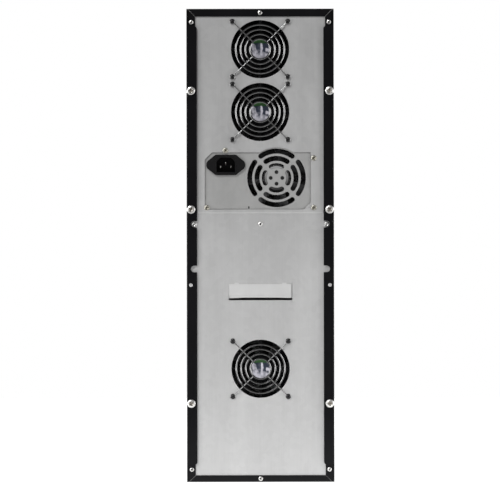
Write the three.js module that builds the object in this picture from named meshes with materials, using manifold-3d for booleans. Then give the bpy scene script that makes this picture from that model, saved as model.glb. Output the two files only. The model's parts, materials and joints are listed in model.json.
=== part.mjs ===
// Disc duplicator tower: a tall steel case with a stack of disc drives, a controller,
// a power supply and three rear fans. Millimetres, +Z up, front towards -Y, rear towards +Y,
// origin in the middle of the base.
import * as THREE from "three";
import { mergeVertices } from "three/addons/utils/BufferGeometryUtils.js";
import Module from "manifold-3d";

const wasm = await Module();
wasm.setup();

// Case
const caseWidth = 190;
const caseHeight = 610;
const caseDepth = 380;
const coverSheet = 1;
const frameSheet = 1;
const panelSheet = 1;
const cageSheet = 1;
const fitGap = 0.3;
const cutOverrun = 2;
const weldDistance = 0.001;

// Rear frame and the flanges of the side covers
const flangeWidth = 13.4;
const flangeEndDrop = 22.3;
const ringWidth = 11.2;
const topStrip = 10;
const bottomStrip = 8.5;
const notchRadius = 4.3;
const notchLand = 5.3;
const notchDrop = 15;
const notchPitch = 57.5;
const notchCount = 2;
const frontSill = 12;

// Front bezel
const bezelDepth = 10;
const bezelWall = 3;
const bezelCornerRadius = 8;
const ventWidth = 110;
const ventHeight = 4;
const ventPitch = 8;
const ventBase = 18;
const ventCount = 5;
const powerButtonRadius = 6.5;
const powerButtonLength = 7;
const powerButtonDrop = 14;

// Drive bays
const bayPitch = 42;
const stackTopDrop = 22;
const footHeight = 84;
const faceRecess = 1.5;
const facePlateWidth = 148;
const facePlateHeight = 41.4;
const facePlateDepth = 5;
const driveWidth = 146;
const driveHeight = 41;
const driveDepth = 165;
const cageDepth = 158;
const cageFootWidth = 9;

// Disc tray
const trayMouthWidth = 134;
const trayMouthHeight = 13.6;
const trayMouthRise = 6;
const trayLipDepth = 3.2;
const trayWidth = 128;
const trayThickness = 6;
const trayLength = 150;
const discRecessRadius = 60.2;
const discRecessDepth = 3;
const smallDiscRadius = 40.5;
const smallDiscDepth = 1;
const recessSetback = 4;
const spindleSlotWidth = 38;
const spindleSlotLength = 82;
const trayBackRoom = 4;

// Buttons
const buttonTravel = 1.2;
const buttonLength = 6;
const ejectWidth = 11;
const ejectHeight = 4.6;
const ejectOffset = 56;
const ejectDrop = 14;
const keyRadius = 4.2;
const keyPitch = 13;
const keyOffset = 20;
const keyNames = ["up_button", "down_button", "enter_button", "escape_button"];
const buttonProud = 1;

// Controller
const controllerDepth = 96;
const lcdWidth = 66;
const lcdHeight = 24;
const lcdThickness = 1.5;
const lcdOffset = -30;

// Fans
const fanSize = 80;
const fanDepth = 25;
const fanCornerRadius = 4;
const fanBore = 38;
const fanFlange = 4;
const fanDuctWall = 1.5;
const fanHolePitch = 71.5;
const fanHoleRadius = 2.2;
const hubRadius = 17;
const hubPlate = 3;
const strutWidth = 3;
const strutDepth = 2.2;
const bearingRadius = 4.5;
const bearingLength = 14;
const shaftRadius = 2;
const rotorWall = 1.5;
const rotorFrontRoom = 2;
const bladeCount = 7;
const bladeTipGap = 0.8;
const bladeThickness = 1.4;
const bladeChordDegrees = 44;
const bladeEndShares = [0.2, 0.85];

// Rear panels, fan guards and the rear's layout
const fanCutRadius = 37.5;
const topFanDrop = 52;
const fanPitch = 81;
const fanToSupply = 3.6;
const lowFanShare = 0.42;
const panelSideMargin = 3;
const seamHem = 3.6;
const hemThickness = 0.8;
const knockoutWidth = 82;
const knockoutHeight = 21;
const knockoutShare = 0.705;
const knockoutSlit = 0.8;
const knockoutDrop = 1.6;
const knockoutTab = 4;
const knockoutTabShare = 0.75;
const guardWireRadius = 1;
const guardInnerRadius = 13;
const guardRingPitch = 6.13;
const guardRingCount = 4;
const guardEyeRadius = 4.4;

// Power supply
const supplyWidth = 150;
const supplyHeight = 86;
const supplyDepth = 140;
const supplySheet = 1;
const supplyWindowLeft = 71.5;
const supplyWindowRight = 65.2;
const supplyWindowSill = 3.9;
const supplyWindowHead = 8.5;
const windowChamfer = 9;
const grilleOffset = -21;
const grilleHeight = 44.6;
const grilleRadius = 37.8;
const grilleBulgeRoom = 1.6;
const grilleSlotWidth = 6.4;
const grilleSlotPitch = 9.4;
const grilleSlotHalfDegrees = [36, 33, 25];
const grilleHoleRadius = 2.2;
const grilleHoleReach = 7.4;
const supplyVentWidth = 116;
const supplyVentHeight = 58;
const supplyScrewRadius = 1.8;
const supplyScrewEdge = 6;
const supplyScrewDrop = 16;
const supplyScrewInset = 30;

// Mains inlet
const inletOffset = 44.5;
const inletHeight = 61.4;
const inletWidth = 50;
const inletTall = 26.3;
const inletFlatWidth = 26.2;
const inletTipTall = 7.2;
const inletFlange = 2;
const socketWidth = 24;
const socketTall = 19;
const socketBevel = 5;
const socketDepth = 16;
const socketWall = 1.5;
const socketFloor = 2;
const pinWidth = 2;
const pinTall = 4;
const pinLength = 12;
const pinSpread = 7;
const earthRise = 4;

// Facets of the round shapes
const roundSegments = 24;
const ringSegments = 20;
const hubSegments = 16;
const wireSides = 4;
const smallSegments = 6;
const arcSegments = 3;

// Places worked out from the sizes above
const rearY = caseDepth / 2;
const frontY = -caseDepth / 2;
const ringRearY = rearY - coverSheet - fitGap;
const panelRearY = ringRearY - frameSheet - fitGap;
const fanRearY = panelRearY - panelSheet - fitGap;
const frameFrontY = frontY + bezelDepth + fitGap;
const faceY = frontY + faceRecess;
const bayRoom = caseHeight - stackTopDrop - footHeight;
const countingShare = 0.01;
const bayCount = Math.floor(bayRoom / bayPitch + countingShare);
const driveCount = bayCount - 1;
const stackTopZ = caseHeight - stackTopDrop;
const stackBaseZ = stackTopZ - bayCount * bayPitch;
const coverHalf = caseWidth / 2;
const ringHalf = coverHalf - coverSheet - fitGap;
const cageHalf = driveWidth / 2 + fitGap + cageSheet;
const topFanZ = caseHeight - topFanDrop;
const midFanZ = topFanZ - fanPitch;
const supplyTopZ = midFanZ - fanSize / 2 - fanToSupply;
const supplyBaseZ = supplyTopZ - supplyHeight;
const seamZ = supplyBaseZ - fitGap;
const lowFanZ = seamZ * lowFanShare;
const knockoutZ = seamZ * knockoutShare;
const fanHoleReach = fanHolePitch / 2;

// Finishes
function finish(color, roughness, metalness) {
  return new THREE.MeshStandardMaterial({ color, roughness, metalness });
}

const blackCoat = () => finish(0x18181b, 0.55, 0.2);
const zincSteel = () => finish(0xb2b3b6, 0.4, 0.8);
const blackPlastic = () => finish(0x141416, 0.6, 0);
const greyPlastic = () => finish(0x2a2b2e, 0.55, 0);
const brightWire = () => finish(0xa9aaad, 0.3, 0.9);
const darkGlass = () => finish(0x1a2c58, 0.15, 0);

// A closed geometry as a solid that can be joined and cut.
function solidOf(geometry) {
  const bare = geometry.clone();
  bare.deleteAttribute("normal");
  bare.deleteAttribute("uv");
  const merged = mergeVertices(bare, weldDistance);
  return new wasm.Manifold(
    new wasm.Mesh({
      numProp: 3,
      vertProperties: merged.attributes.position.array,
      triVerts: new Uint32Array(merged.index.array),
    }),
  );
}

// A solid as a flat-shaded geometry.
function geometryOf(solid) {
  const made = solid.getMesh();
  const indexed = new THREE.BufferGeometry();
  indexed.setAttribute("position", new THREE.BufferAttribute(made.vertProperties, 3));
  indexed.setIndex(new THREE.BufferAttribute(made.triVerts, 1));
  const flat = indexed.toNonIndexed();
  flat.computeVertexNormals();
  return flat;
}

function block(x0, x1, y0, y1, z0, z1) {
  const box = new THREE.BoxGeometry(x1 - x0, y1 - y0, z1 - z0);
  box.translate((x0 + x1) / 2, (y0 + y1) / 2, (z0 + z1) / 2);
  return solidOf(box);
}

// A block that is centred on x = 0.
function centredBlock(width, y0, y1, z0, z1) {
  return block(-width / 2, width / 2, y0, y1, z0, z1);
}

// A round bar along Y.
function bar(x, z, radius, y0, y1, segments) {
  const round = new THREE.CylinderGeometry(radius, radius, y1 - y0, segments);
  round.translate(x, (y0 + y1) / 2, z);
  return solidOf(round);
}

// A plate across the tower: an outline in x and z that runs from y0 to y1.
function plate(outline, y0, y1, curveSegments = arcSegments) {
  const depth = y1 - y0;
  const flat = new THREE.ExtrudeGeometry(outline, { depth, bevelEnabled: false, curveSegments });
  flat.rotateX(Math.PI / 2);
  flat.translate(0, y1, 0);
  return solidOf(flat);
}

// A turned piece about the Y axis, from [radius, y] pairs that start and end on the axis.
function turned(profile, segments) {
  const points = profile.map(([radius, y]) => new THREE.Vector2(radius, y));
  return solidOf(new THREE.LatheGeometry(points, segments));
}

function joined(solids) {
  return solids.reduce((sum, next) => sum.add(next));
}

function cutFrom(solid, cutters) {
  return cutters.reduce((rest, cutter) => rest.subtract(cutter), solid);
}

function polygon(points) {
  return new THREE.Shape(points.map(([x, z]) => new THREE.Vector2(x, z)));
}

function roundedSquare(size, radius) {
  const half = size / 2;
  const inset = half - radius;
  const outline = new THREE.Shape();
  outline.absarc(inset, inset, radius, 0, Math.PI / 2);
  outline.absarc(-inset, inset, radius, Math.PI / 2, Math.PI);
  outline.absarc(-inset, -inset, radius, Math.PI, 1.5 * Math.PI);
  outline.absarc(inset, -inset, radius, 1.5 * Math.PI, 2 * Math.PI);
  return outline;
}

// The four corners of a fan's screw pattern.
function fanCorners() {
  return [-1, 1].flatMap((across) => [-1, 1].map((up) => [across * fanHoleReach, up * fanHoleReach]));
}

// The notches in the side flanges, below the seam of the rear panels, with a round outer end.
function sideNotches(side, y0, y1) {
  const x = side * (coverHalf - notchLand - notchRadius);
  const mouthX = side * (coverHalf - flangeWidth - cutOverrun);
  const low = Math.min(x, mouthX);
  const high = Math.max(x, mouthX);
  return Array.from({ length: notchCount }, (unused, index) => {
    const z = seamZ - notchDrop - index * notchPitch;
    const mouth = block(low, high, y0, y1, z - notchRadius, z + notchRadius);
    return bar(x, z, notchRadius, y0, y1, ringSegments).add(mouth);
  });
}

// Base, top and the two upright rings that join them, in one piece.
function chassisFrame() {
  const ringFrontY = ringRearY - frameSheet;
  const frameBackY = frameFrontY + frameSheet;
  const base = centredBlock(caseWidth, frameFrontY, ringRearY, 0, frameSheet);
  const top = centredBlock(caseWidth, frameFrontY, ringRearY, caseHeight - frameSheet, caseHeight);
  const rearRing = centredBlock(2 * ringHalf, ringFrontY, ringRearY, 0, caseHeight).subtract(
    centredBlock(
      caseWidth - 2 * ringWidth,
      ringFrontY - cutOverrun,
      ringRearY + cutOverrun,
      bottomStrip,
      caseHeight - topStrip,
    ),
  );
  const frontRing = centredBlock(2 * ringHalf, frameFrontY, frameBackY, 0, caseHeight).subtract(
    centredBlock(
      2 * (cageHalf + fitGap),
      frameFrontY - cutOverrun,
      frameBackY + cutOverrun,
      frontSill,
      caseHeight - frontSill,
    ),
  );
  const notches = [-1, 1].flatMap((side) =>
    sideNotches(side, ringFrontY - cutOverrun, ringRearY + cutOverrun),
  );
  return joined([base, top, cutFrom(rearRing, notches), frontRing]);
}

// A flat side with a flange folded round the rear edge.
function sideCover(side) {
  const edge = frameSheet + fitGap;
  const outer = side * coverHalf;
  const inner = side * (coverHalf - coverSheet);
  const fold = side * (coverHalf - flangeWidth);
  const chamfer = flangeWidth - ringWidth;
  const cornerX = side * (coverHalf - ringWidth);
  const lowZ = flangeEndDrop;
  const highZ = caseHeight - flangeEndDrop;
  const skin = block(
    Math.min(outer, inner),
    Math.max(outer, inner),
    frameFrontY,
    rearY,
    edge,
    caseHeight - edge,
  );
  const corners = [
    [outer, lowZ],
    [cornerX, lowZ],
    [fold, lowZ + chamfer],
    [fold, highZ - chamfer],
    [cornerX, highZ],
    [outer, highZ],
  ];
  const flange = plate(polygon(side > 0 ? corners.reverse() : corners), rearY - coverSheet, rearY);
  return cutFrom(
    skin.add(flange),
    sideNotches(side, rearY - coverSheet - cutOverrun / 2, rearY + cutOverrun),
  );
}

// The holes that one fan needs in a rear panel.
function fanOpening(z) {
  const y0 = panelRearY - panelSheet - cutOverrun;
  const y1 = panelRearY + cutOverrun;
  const screws = fanCorners().map(([x, up]) => bar(x, z + up, fanHoleRadius, y0, y1, smallSegments));
  return [bar(0, z, fanCutRadius, y0, y1, roundSegments), ...screws];
}

// The power supply's four screws: three are the same distance from its edges, and one is lower.
function supplyScrewPlaces() {
  const across = supplyWidth / 2 - supplyScrewEdge;
  return [
    [across, supplyBaseZ + supplyScrewEdge],
    [-across, supplyBaseZ + supplyScrewEdge],
    [-across, supplyTopZ - supplyScrewDrop],
    [supplyWidth / 2 - supplyScrewInset, supplyTopZ - supplyScrewEdge],
  ];
}

// The window that shows the power supply, with its grille's bulge and cut corners.
function supplyWindow() {
  const y0 = panelRearY - panelSheet - cutOverrun;
  const y1 = panelRearY + cutOverrun;
  const low = supplyBaseZ + supplyWindowSill;
  const high = supplyTopZ - supplyWindowHead;
  const window = plate(
    polygon([
      [-supplyWindowRight + windowChamfer, low],
      [supplyWindowLeft, low],
      [supplyWindowLeft, high - windowChamfer],
      [supplyWindowLeft - windowChamfer, high],
      [-supplyWindowRight, high],
      [-supplyWindowRight, low + windowChamfer],
    ]),
    y0,
    y1,
  );
  const bulgeRadius = grilleRadius + grilleBulgeRoom;
  const bulge = bar(grilleOffset, supplyBaseZ + grilleHeight, bulgeRadius, y0, y1, roundSegments);
  const screws = supplyScrewPlaces().map(([x, z]) =>
    bar(x, z, supplyScrewRadius, y0, y1, smallSegments),
  );
  return [window.add(bulge), ...screws];
}

function rearPanelUpper() {
  const half = ringHalf - panelSideMargin;
  const topZ = caseHeight - frameSheet - fitGap;
  const sheet = centredBlock(2 * half, panelRearY - panelSheet, panelRearY, seamZ, topZ);
  const hemHalf = coverHalf - flangeWidth - fitGap;
  const hem = centredBlock(
    2 * hemHalf,
    panelRearY - panelSheet,
    panelRearY + hemThickness,
    seamZ,
    seamZ + seamHem,
  );
  return cutFrom(sheet.add(hem), [
    ...fanOpening(topFanZ),
    ...fanOpening(midFanZ),
    ...supplyWindow(),
  ]);
}

// The lower panel with its knock-out plate, which still hangs on two tabs.
function rearPanelLower() {
  const half = ringHalf - panelSideMargin;
  const y0 = panelRearY - panelSheet;
  const sheet = centredBlock(2 * half, y0, panelRearY, frameSheet + fitGap, seamZ - fitGap);
  const low = knockoutZ - knockoutHeight / 2;
  const high = knockoutZ + knockoutHeight / 2;
  const hole = centredBlock(knockoutWidth, y0 - cutOverrun, panelRearY + cutOverrun, low, high);
  const flapWidth = knockoutWidth - 2 * knockoutSlit;
  const flap = centredBlock(flapWidth, y0, panelRearY, low + knockoutDrop, high - knockoutSlit);
  const tabs = [-1, 1].map((side) => {
    const x = (side * knockoutTabShare * knockoutWidth) / 2;
    return block(x - knockoutTab / 2, x + knockoutTab / 2, y0, panelRearY, low + knockoutDrop, high);
  });
  return joined([cutFrom(sheet, [hole, ...fanOpening(lowFanZ)]), flap, ...tabs]);
}

// A moulded frame round the drives, with vent slots and the power button's well below them.
function frontBezel() {
  const half = caseWidth / 2;
  const bend = half - bezelCornerRadius;
  const backY = frontY + bezelDepth;
  const plan = new THREE.Shape();
  plan.moveTo(half, backY);
  plan.lineTo(-half, backY);
  plan.absarc(-bend, frontY + bezelCornerRadius, bezelCornerRadius, Math.PI, 1.5 * Math.PI);
  plan.absarc(bend, frontY + bezelCornerRadius, bezelCornerRadius, 1.5 * Math.PI, 2 * Math.PI);
  const tall = { depth: caseHeight, bevelEnabled: false, curveSegments: arcSegments };
  const outer = solidOf(new THREE.ExtrudeGeometry(plan, tall));
  const pocket = centredBlock(
    caseWidth - 2 * bezelWall,
    frontY + bezelWall,
    backY + cutOverrun,
    bezelWall,
    caseHeight - bezelWall,
  );
  const cutY = frontY - cutOverrun;
  const bays = centredBlock(facePlateWidth + 2 * fitGap, cutY, backY, stackBaseZ, stackTopZ);
  const vents = Array.from({ length: ventCount }, (unused, index) => {
    const z = ventBase + index * ventPitch;
    return centredBlock(ventWidth, cutY, backY, z, z + ventHeight);
  });
  const powerZ = stackBaseZ - powerButtonDrop;
  const wellRadius = powerButtonRadius + fitGap;
  const wellFloorY = frontY + powerButtonLength + buttonTravel + fitGap;
  const power = bar(0, powerZ, wellRadius, cutY, wellFloorY, ringSegments);
  const guideRadius = wellRadius + bezelWall / 2;
  const guide = bar(0, powerZ, guideRadius, frontY + bezelWall / 2, backY, ringSegments);
  return cutFrom(outer.subtract(pocket).add(guide), [bays, ...vents, power]);
}

function powerButton() {
  return bar(0, 0, powerButtonRadius, 0, powerButtonLength, ringSegments);
}

// Two side plates that the drives are screwed to, two shelves that join them, feet on the
// base and flanges behind the front ring.
function driveCage() {
  const y0 = frameFrontY + frameSheet + fitGap;
  const y1 = y0 + cageDepth;
  const baseZ = frameSheet + fitGap;
  const topZ = stackTopZ + fitGap + cageSheet;
  const inner = cageHalf - cageSheet;
  const outer = cageHalf + cageFootWidth;
  const halves = [-1, 1].flatMap((side) => {
    const strip = (reach, back, high) => {
      const ends = [side * inner, side * reach];
      return block(Math.min(...ends), Math.max(...ends), y0, back, baseZ, high);
    };
    return [
      strip(cageHalf, y1, topZ),
      strip(outer, y1, baseZ + cageSheet),
      strip(outer, y0 + cageSheet, topZ),
    ];
  });
  const under = centredBlock(2 * cageHalf, y0, y1, stackBaseZ - cageSheet, stackBaseZ);
  const over = centredBlock(2 * cageHalf, y0, y1, topZ - cageSheet, topZ);
  return joined([...halves, under, over]);
}

// A face plate with its can behind it, in the bay's own frame: face at y = 0, bay centre at z = 0.
function bayUnit(depth) {
  const face = centredBlock(
    facePlateWidth,
    0,
    facePlateDepth,
    -facePlateHeight / 2,
    facePlateHeight / 2,
  );
  const backY = facePlateDepth + depth;
  const canY = facePlateDepth / 2;
  return face.add(centredBlock(driveWidth, canY, backY, -driveHeight / 2, driveHeight / 2));
}

function driveBody() {
  const mouthLow = trayMouthRise - trayMouthHeight / 2;
  const mouth = centredBlock(
    trayMouthWidth,
    -cutOverrun,
    trayLipDepth + trayLength + trayBackRoom,
    mouthLow,
    mouthLow + trayMouthHeight,
  );
  const pocket = block(
    ejectOffset - ejectWidth / 2 - fitGap,
    ejectOffset + ejectWidth / 2 + fitGap,
    -cutOverrun,
    buttonLength + buttonTravel,
    -ejectDrop - ejectHeight / 2 - fitGap,
    -ejectDrop + ejectHeight / 2 + fitGap,
  );
  return cutFrom(bayUnit(driveDepth), [mouth, pocket]);
}

function ejectButton() {
  return centredBlock(
    ejectWidth,
    -buttonProud,
    buttonLength - buttonProud,
    -ejectHeight / 2,
    ejectHeight / 2,
  );
}

// A tray in its drive's frame: the lip closes the mouth, and the disc lies in the recess.
function discTray() {
  const mouthLow = trayMouthRise - trayMouthHeight / 2;
  const lip = centredBlock(
    trayMouthWidth - 2 * fitGap,
    0,
    trayLipDepth,
    mouthLow + fitGap,
    mouthLow + trayMouthHeight - fitGap,
  );
  const floorZ = mouthLow + fitGap;
  const deckZ = floorZ + trayThickness;
  const backY = trayLipDepth + trayLength;
  const deck = centredBlock(trayWidth, trayLipDepth / 2, backY, floorZ, deckZ);
  const centreY = trayLipDepth + recessSetback + discRecessRadius;
  const recess = (radius, depth, segments) => {
    const well = new THREE.CylinderGeometry(radius, radius, depth + cutOverrun, segments);
    well.rotateX(Math.PI / 2);
    well.translate(0, centreY, deckZ - depth + (depth + cutOverrun) / 2);
    return solidOf(well);
  };
  const slot = centredBlock(
    spindleSlotWidth,
    centreY - spindleSlotWidth / 2,
    centreY - spindleSlotWidth / 2 + spindleSlotLength,
    floorZ - cutOverrun,
    deckZ + cutOverrun,
  );
  return cutFrom(lip.add(deck), [
    recess(discRecessRadius, discRecessDepth, roundSegments),
    recess(smallDiscRadius, discRecessDepth + smallDiscDepth, hubSegments),
    slot,
  ]);
}

function keyPlaces() {
  return keyNames.map((name, index) => ({ name, x: keyOffset + index * keyPitch }));
}

function controllerUnit() {
  const window = block(
    lcdOffset - lcdWidth / 2 - fitGap,
    lcdOffset + lcdWidth / 2 + fitGap,
    -cutOverrun,
    lcdThickness + fitGap,
    -lcdHeight / 2 - fitGap,
    lcdHeight / 2 + fitGap,
  );
  const depth = buttonLength + buttonTravel;
  const keys = keyPlaces().map(({ x }) =>
    bar(x, 0, keyRadius + fitGap, -cutOverrun, depth, ringSegments),
  );
  return cutFrom(bayUnit(controllerDepth), [window, ...keys]);
}

function lcdWindow() {
  const low = -lcdHeight / 2;
  return block(lcdOffset - lcdWidth / 2, lcdOffset + lcdWidth / 2, 0, lcdThickness, low, -low);
}

function controllerKey() {
  return bar(0, 0, keyRadius, -buttonProud, buttonLength - buttonProud, ringSegments);
}

// A fan's frame in the fan's own frame: outer face at y = 0, axis along Y.
function fanHousing() {
  const square = roundedSquare(fanSize, fanCornerRadius);
  const outerFlange = plate(square, -fanFlange, 0);
  const innerFlange = plate(square, -fanDepth, -fanDepth + fanFlange);
  const ductY = fanFlange / 2;
  const duct = bar(0, 0, fanBore + fanDuctWall, -fanDepth + ductY, -ductY, roundSegments);
  const bore = bar(0, 0, fanBore, -fanDepth - cutOverrun, cutOverrun, roundSegments);
  const screws = fanCorners().map(([x, z]) =>
    bar(x, z, fanHoleRadius, -fanFlange - cutOverrun, cutOverrun, smallSegments),
  );
  const frame = cutFrom(joined([outerFlange, innerFlange, duct]), [bore, ...screws]);
  const reach = fanBore + fanDuctWall / 2;
  const struts = [0, 1].map((turn) => {
    const strut = new THREE.BoxGeometry(2 * reach, strutDepth, strutWidth);
    strut.translate(0, -strutDepth / 2, 0);
    strut.rotateY((turn * Math.PI) / 2);
    return solidOf(strut);
  });
  const tubeEnd = -hubPlate - bearingLength;
  const hub = turned(
    [
      [0, -hubPlate],
      [shaftRadius + fitGap, -hubPlate],
      [shaftRadius + fitGap, tubeEnd],
      [bearingRadius, tubeEnd],
      [bearingRadius, -hubPlate],
      [hubRadius, -hubPlate],
      [hubRadius, 0],
      [0, 0],
    ],
    hubSegments,
  );
  return joined([frame, ...struts, hub]);
}

// One twisted blade between the hub and its tip, as a closed grid of points.
function blade(angle, frontEdgeY, rearEdgeY) {
  const rootRadius = hubRadius - rotorWall / 2;
  const tipRadius = fanBore - bladeTipGap;
  const chord = THREE.MathUtils.degToRad(bladeChordDegrees);
  const steps = 2;
  const positions = [];
  [1, -1].forEach((skin) => {
    for (let along = 0; along <= steps; along += 1) {
      for (let across = 0; across <= steps; across += 1) {
        const radius = THREE.MathUtils.lerp(rootRadius, tipRadius, along / steps);
        const turn = angle + chord * (across / steps);
        const y = THREE.MathUtils.lerp(frontEdgeY, rearEdgeY, across / steps);
        const lift = (skin * bladeThickness) / 2;
        positions.push(radius * Math.cos(turn), y + lift, radius * Math.sin(turn));
      }
    }
  });
  const row = steps + 1;
  const layer = row * row;
  const index = [];
  const quad = (a, b, c, d) => index.push(a, b, c, a, c, d);
  for (let along = 0; along < steps; along += 1) {
    for (let across = 0; across < steps; across += 1) {
      const a = along * row + across;
      quad(a, a + 1, a + row + 1, a + row);
      quad(layer + a, layer + a + row, layer + a + row + 1, layer + a + 1);
    }
  }
  for (let step = 0; step < steps; step += 1) {
    const last = steps * row;
    quad(step, layer + step, layer + step + 1, step + 1);
    quad(last + step, last + step + 1, layer + last + step + 1, layer + last + step);
    const low = step * row;
    quad(low, low + row, layer + low + row, layer + low);
    quad(low + steps, layer + low + steps, layer + low + row + steps, low + row + steps);
  }
  const shape = new THREE.BufferGeometry();
  shape.setAttribute("position", new THREE.Float32BufferAttribute(positions, 3));
  shape.setIndex(index);
  return solidOf(shape);
}

// A cup that turns on a shaft inside the housing's bearing tube, with its blades.
function fanRotor() {
  const frontFace = -fanDepth + rotorFrontRoom;
  const rearFace = -hubPlate - fitGap;
  const shaftEnd = rearFace - fitGap;
  const cup = turned(
    [
      [0, frontFace],
      [hubRadius, frontFace],
      [hubRadius, rearFace],
      [hubRadius - rotorWall, rearFace],
      [hubRadius - rotorWall, frontFace + rotorWall],
      [shaftRadius, frontFace + rotorWall],
      [shaftRadius, shaftEnd],
      [0, shaftEnd],
    ],
    hubSegments,
  );
  const span = rearFace - frontFace;
  const [frontShare, rearShare] = bladeEndShares;
  const blades = Array.from({ length: bladeCount }, (unused, index) =>
    blade(
      (index * 2 * Math.PI) / bladeCount,
      frontFace + span * frontShare,
      frontFace + span * rearShare,
    ),
  );
  return joined([cup, ...blades]);
}

// A wire guard in the fan's own frame, with its innermost face at y = 0.
function fanGuard() {
  const wireY = guardWireRadius;
  const rings = Array.from({ length: guardRingCount }, (unused, index) => {
    const radius = guardInnerRadius + index * guardRingPitch;
    const ring = new THREE.TorusGeometry(radius, guardWireRadius, wireSides, hubSegments);
    ring.rotateX(Math.PI / 2);
    ring.translate(0, wireY, 0);
    return solidOf(ring);
  });
  const eyes = fanCorners().map(([x, z]) => {
    const hole = bar(x, z, fanHoleRadius, -cutOverrun, wireY + cutOverrun, smallSegments);
    return bar(x, z, guardEyeRadius, 0, wireY, smallSegments).subtract(hole);
  });
  const from = guardInnerRadius;
  const to = Math.hypot(fanHoleReach, fanHoleReach) - (guardEyeRadius + fanHoleRadius) / 2;
  const legs = [1, 3, 5, 7].map((eighth) => {
    const leg = new THREE.CylinderGeometry(guardWireRadius, guardWireRadius, to - from, wireSides);
    leg.rotateZ(Math.PI / 2);
    leg.translate((from + to) / 2, wireY, 0);
    leg.rotateY((eighth * Math.PI) / 4);
    return solidOf(leg);
  });
  return joined([...rings, ...eyes, ...legs]);
}

// A curved slot with round ends, about the grille's centre.
function arcSlot(outer, halfDegrees, turn, y0, y1) {
  const inner = outer - grilleSlotWidth;
  const middle = (inner + outer) / 2;
  const endRadius = grilleSlotWidth / 2;
  const half = THREE.MathUtils.degToRad(halfDegrees);
  const start = turn - half;
  const end = turn + half;
  const outline = new THREE.Shape();
  outline.absarc(0, 0, outer, start, end);
  outline.absarc(
    middle * Math.cos(end),
    middle * Math.sin(end),
    endRadius,
    end,
    end + Math.PI,
  );
  outline.absarc(0, 0, inner, end, start, true);
  outline.absarc(
    middle * Math.cos(start),
    middle * Math.sin(start),
    endRadius,
    start + Math.PI,
    start + 2 * Math.PI,
  );
  return plate(outline, y0, y1).translate([grilleOffset, 0, supplyBaseZ + grilleHeight]);
}

// The inlet's flange: a wide hexagon with blunt tips.
function inletOutline() {
  return polygon([
    [inletWidth / 2, inletTipTall / 2],
    [inletFlatWidth / 2, inletTall / 2],
    [-inletFlatWidth / 2, inletTall / 2],
    [-inletWidth / 2, inletTipTall / 2],
    [-inletWidth / 2, -inletTipTall / 2],
    [-inletFlatWidth / 2, -inletTall / 2],
    [inletFlatWidth / 2, -inletTall / 2],
    [inletWidth / 2, -inletTipTall / 2],
  ]);
}

// A steel box with its stamped grille and the inlet's hole at the rear, a vent at the front.
function supplyCase() {
  const y0 = fanRearY - supplyDepth;
  const half = supplyWidth / 2;
  const shell = block(-half, half, y0, fanRearY, supplyBaseZ, supplyTopZ);
  const inside = block(
    -half + supplySheet,
    half - supplySheet,
    y0 + supplySheet,
    fanRearY - supplySheet,
    supplyBaseZ + supplySheet,
    supplyTopZ - supplySheet,
  );
  const cut0 = fanRearY - supplySheet - cutOverrun;
  const cut1 = fanRearY + cutOverrun;
  const quarters = [0, 1, 2, 3].map((quarter) => (quarter * Math.PI) / 2);
  const grilleZ = supplyBaseZ + grilleHeight;
  const slots = grilleSlotHalfDegrees.flatMap((halfDegrees, index) => {
    const outer = grilleRadius - index * grilleSlotPitch;
    return quarters.map((turn) => arcSlot(outer, halfDegrees, turn, cut0, cut1));
  });
  const holes = quarters.map((turn) =>
    bar(
      grilleOffset + grilleHoleReach * Math.cos(turn),
      grilleZ + grilleHoleReach * Math.sin(turn),
      grilleHoleRadius,
      cut0,
      cut1,
      smallSegments,
    ),
  );
  const socketHalf = socketWidth / 2 + socketWall + fitGap;
  const socketUp = socketTall / 2 + socketWall + fitGap;
  const inletZ = supplyBaseZ + inletHeight;
  const inletHole = block(
    inletOffset - socketHalf,
    inletOffset + socketHalf,
    cut0,
    cut1,
    inletZ - socketUp,
    inletZ + socketUp,
  );
  const ventLow = supplyBaseZ + (supplyHeight - supplyVentHeight) / 2;
  const vent = centredBlock(
    supplyVentWidth,
    y0 - cutOverrun,
    y0 + supplySheet + cutOverrun,
    ventLow,
    ventLow + supplyVentHeight,
  );
  return cutFrom(shell, [inside, ...slots, ...holes, inletHole, vent]);
}

// The mains inlet in its own frame: the flange's back at y = 0, the socket's centre at z = 0.
function mainsInlet() {
  const flange = plate(inletOutline(), 0, inletFlange);
  const backY = -socketDepth;
  const bodyHalf = socketTall / 2 + socketWall;
  const body = centredBlock(socketWidth + 2 * socketWall, backY, inletFlange / 2, -bodyHalf, bodyHalf);
  const halfWidth = socketWidth / 2;
  const halfTall = socketTall / 2;
  const hollow = plate(
    polygon([
      [-halfWidth, -halfTall],
      [halfWidth, -halfTall],
      [halfWidth, halfTall - socketBevel],
      [halfWidth - socketBevel, halfTall],
      [-halfWidth + socketBevel, halfTall],
      [-halfWidth, halfTall - socketBevel],
    ]),
    backY + socketFloor,
    inletFlange + cutOverrun,
  );
  const pins = [-1, 0, 1].map((side) => {
    const x = side * pinSpread;
    const rise = side === 0 ? earthRise / 2 : -earthRise / 2;
    return block(
      x - pinWidth / 2,
      x + pinWidth / 2,
      backY + socketFloor / 2,
      backY + socketFloor + pinLength,
      rise - pinTall / 2,
      rise + pinTall / 2,
    );
  });
  return joined([flange.add(body).subtract(hollow), ...pins]);
}

const tower = new THREE.Group();

function addPiece(name, geometry, material, x = 0, y = 0, z = 0) {
  const mesh = new THREE.Mesh(geometry, material);
  mesh.name = name;
  mesh.position.set(x, y, z);
  tower.add(mesh);
}

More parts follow.
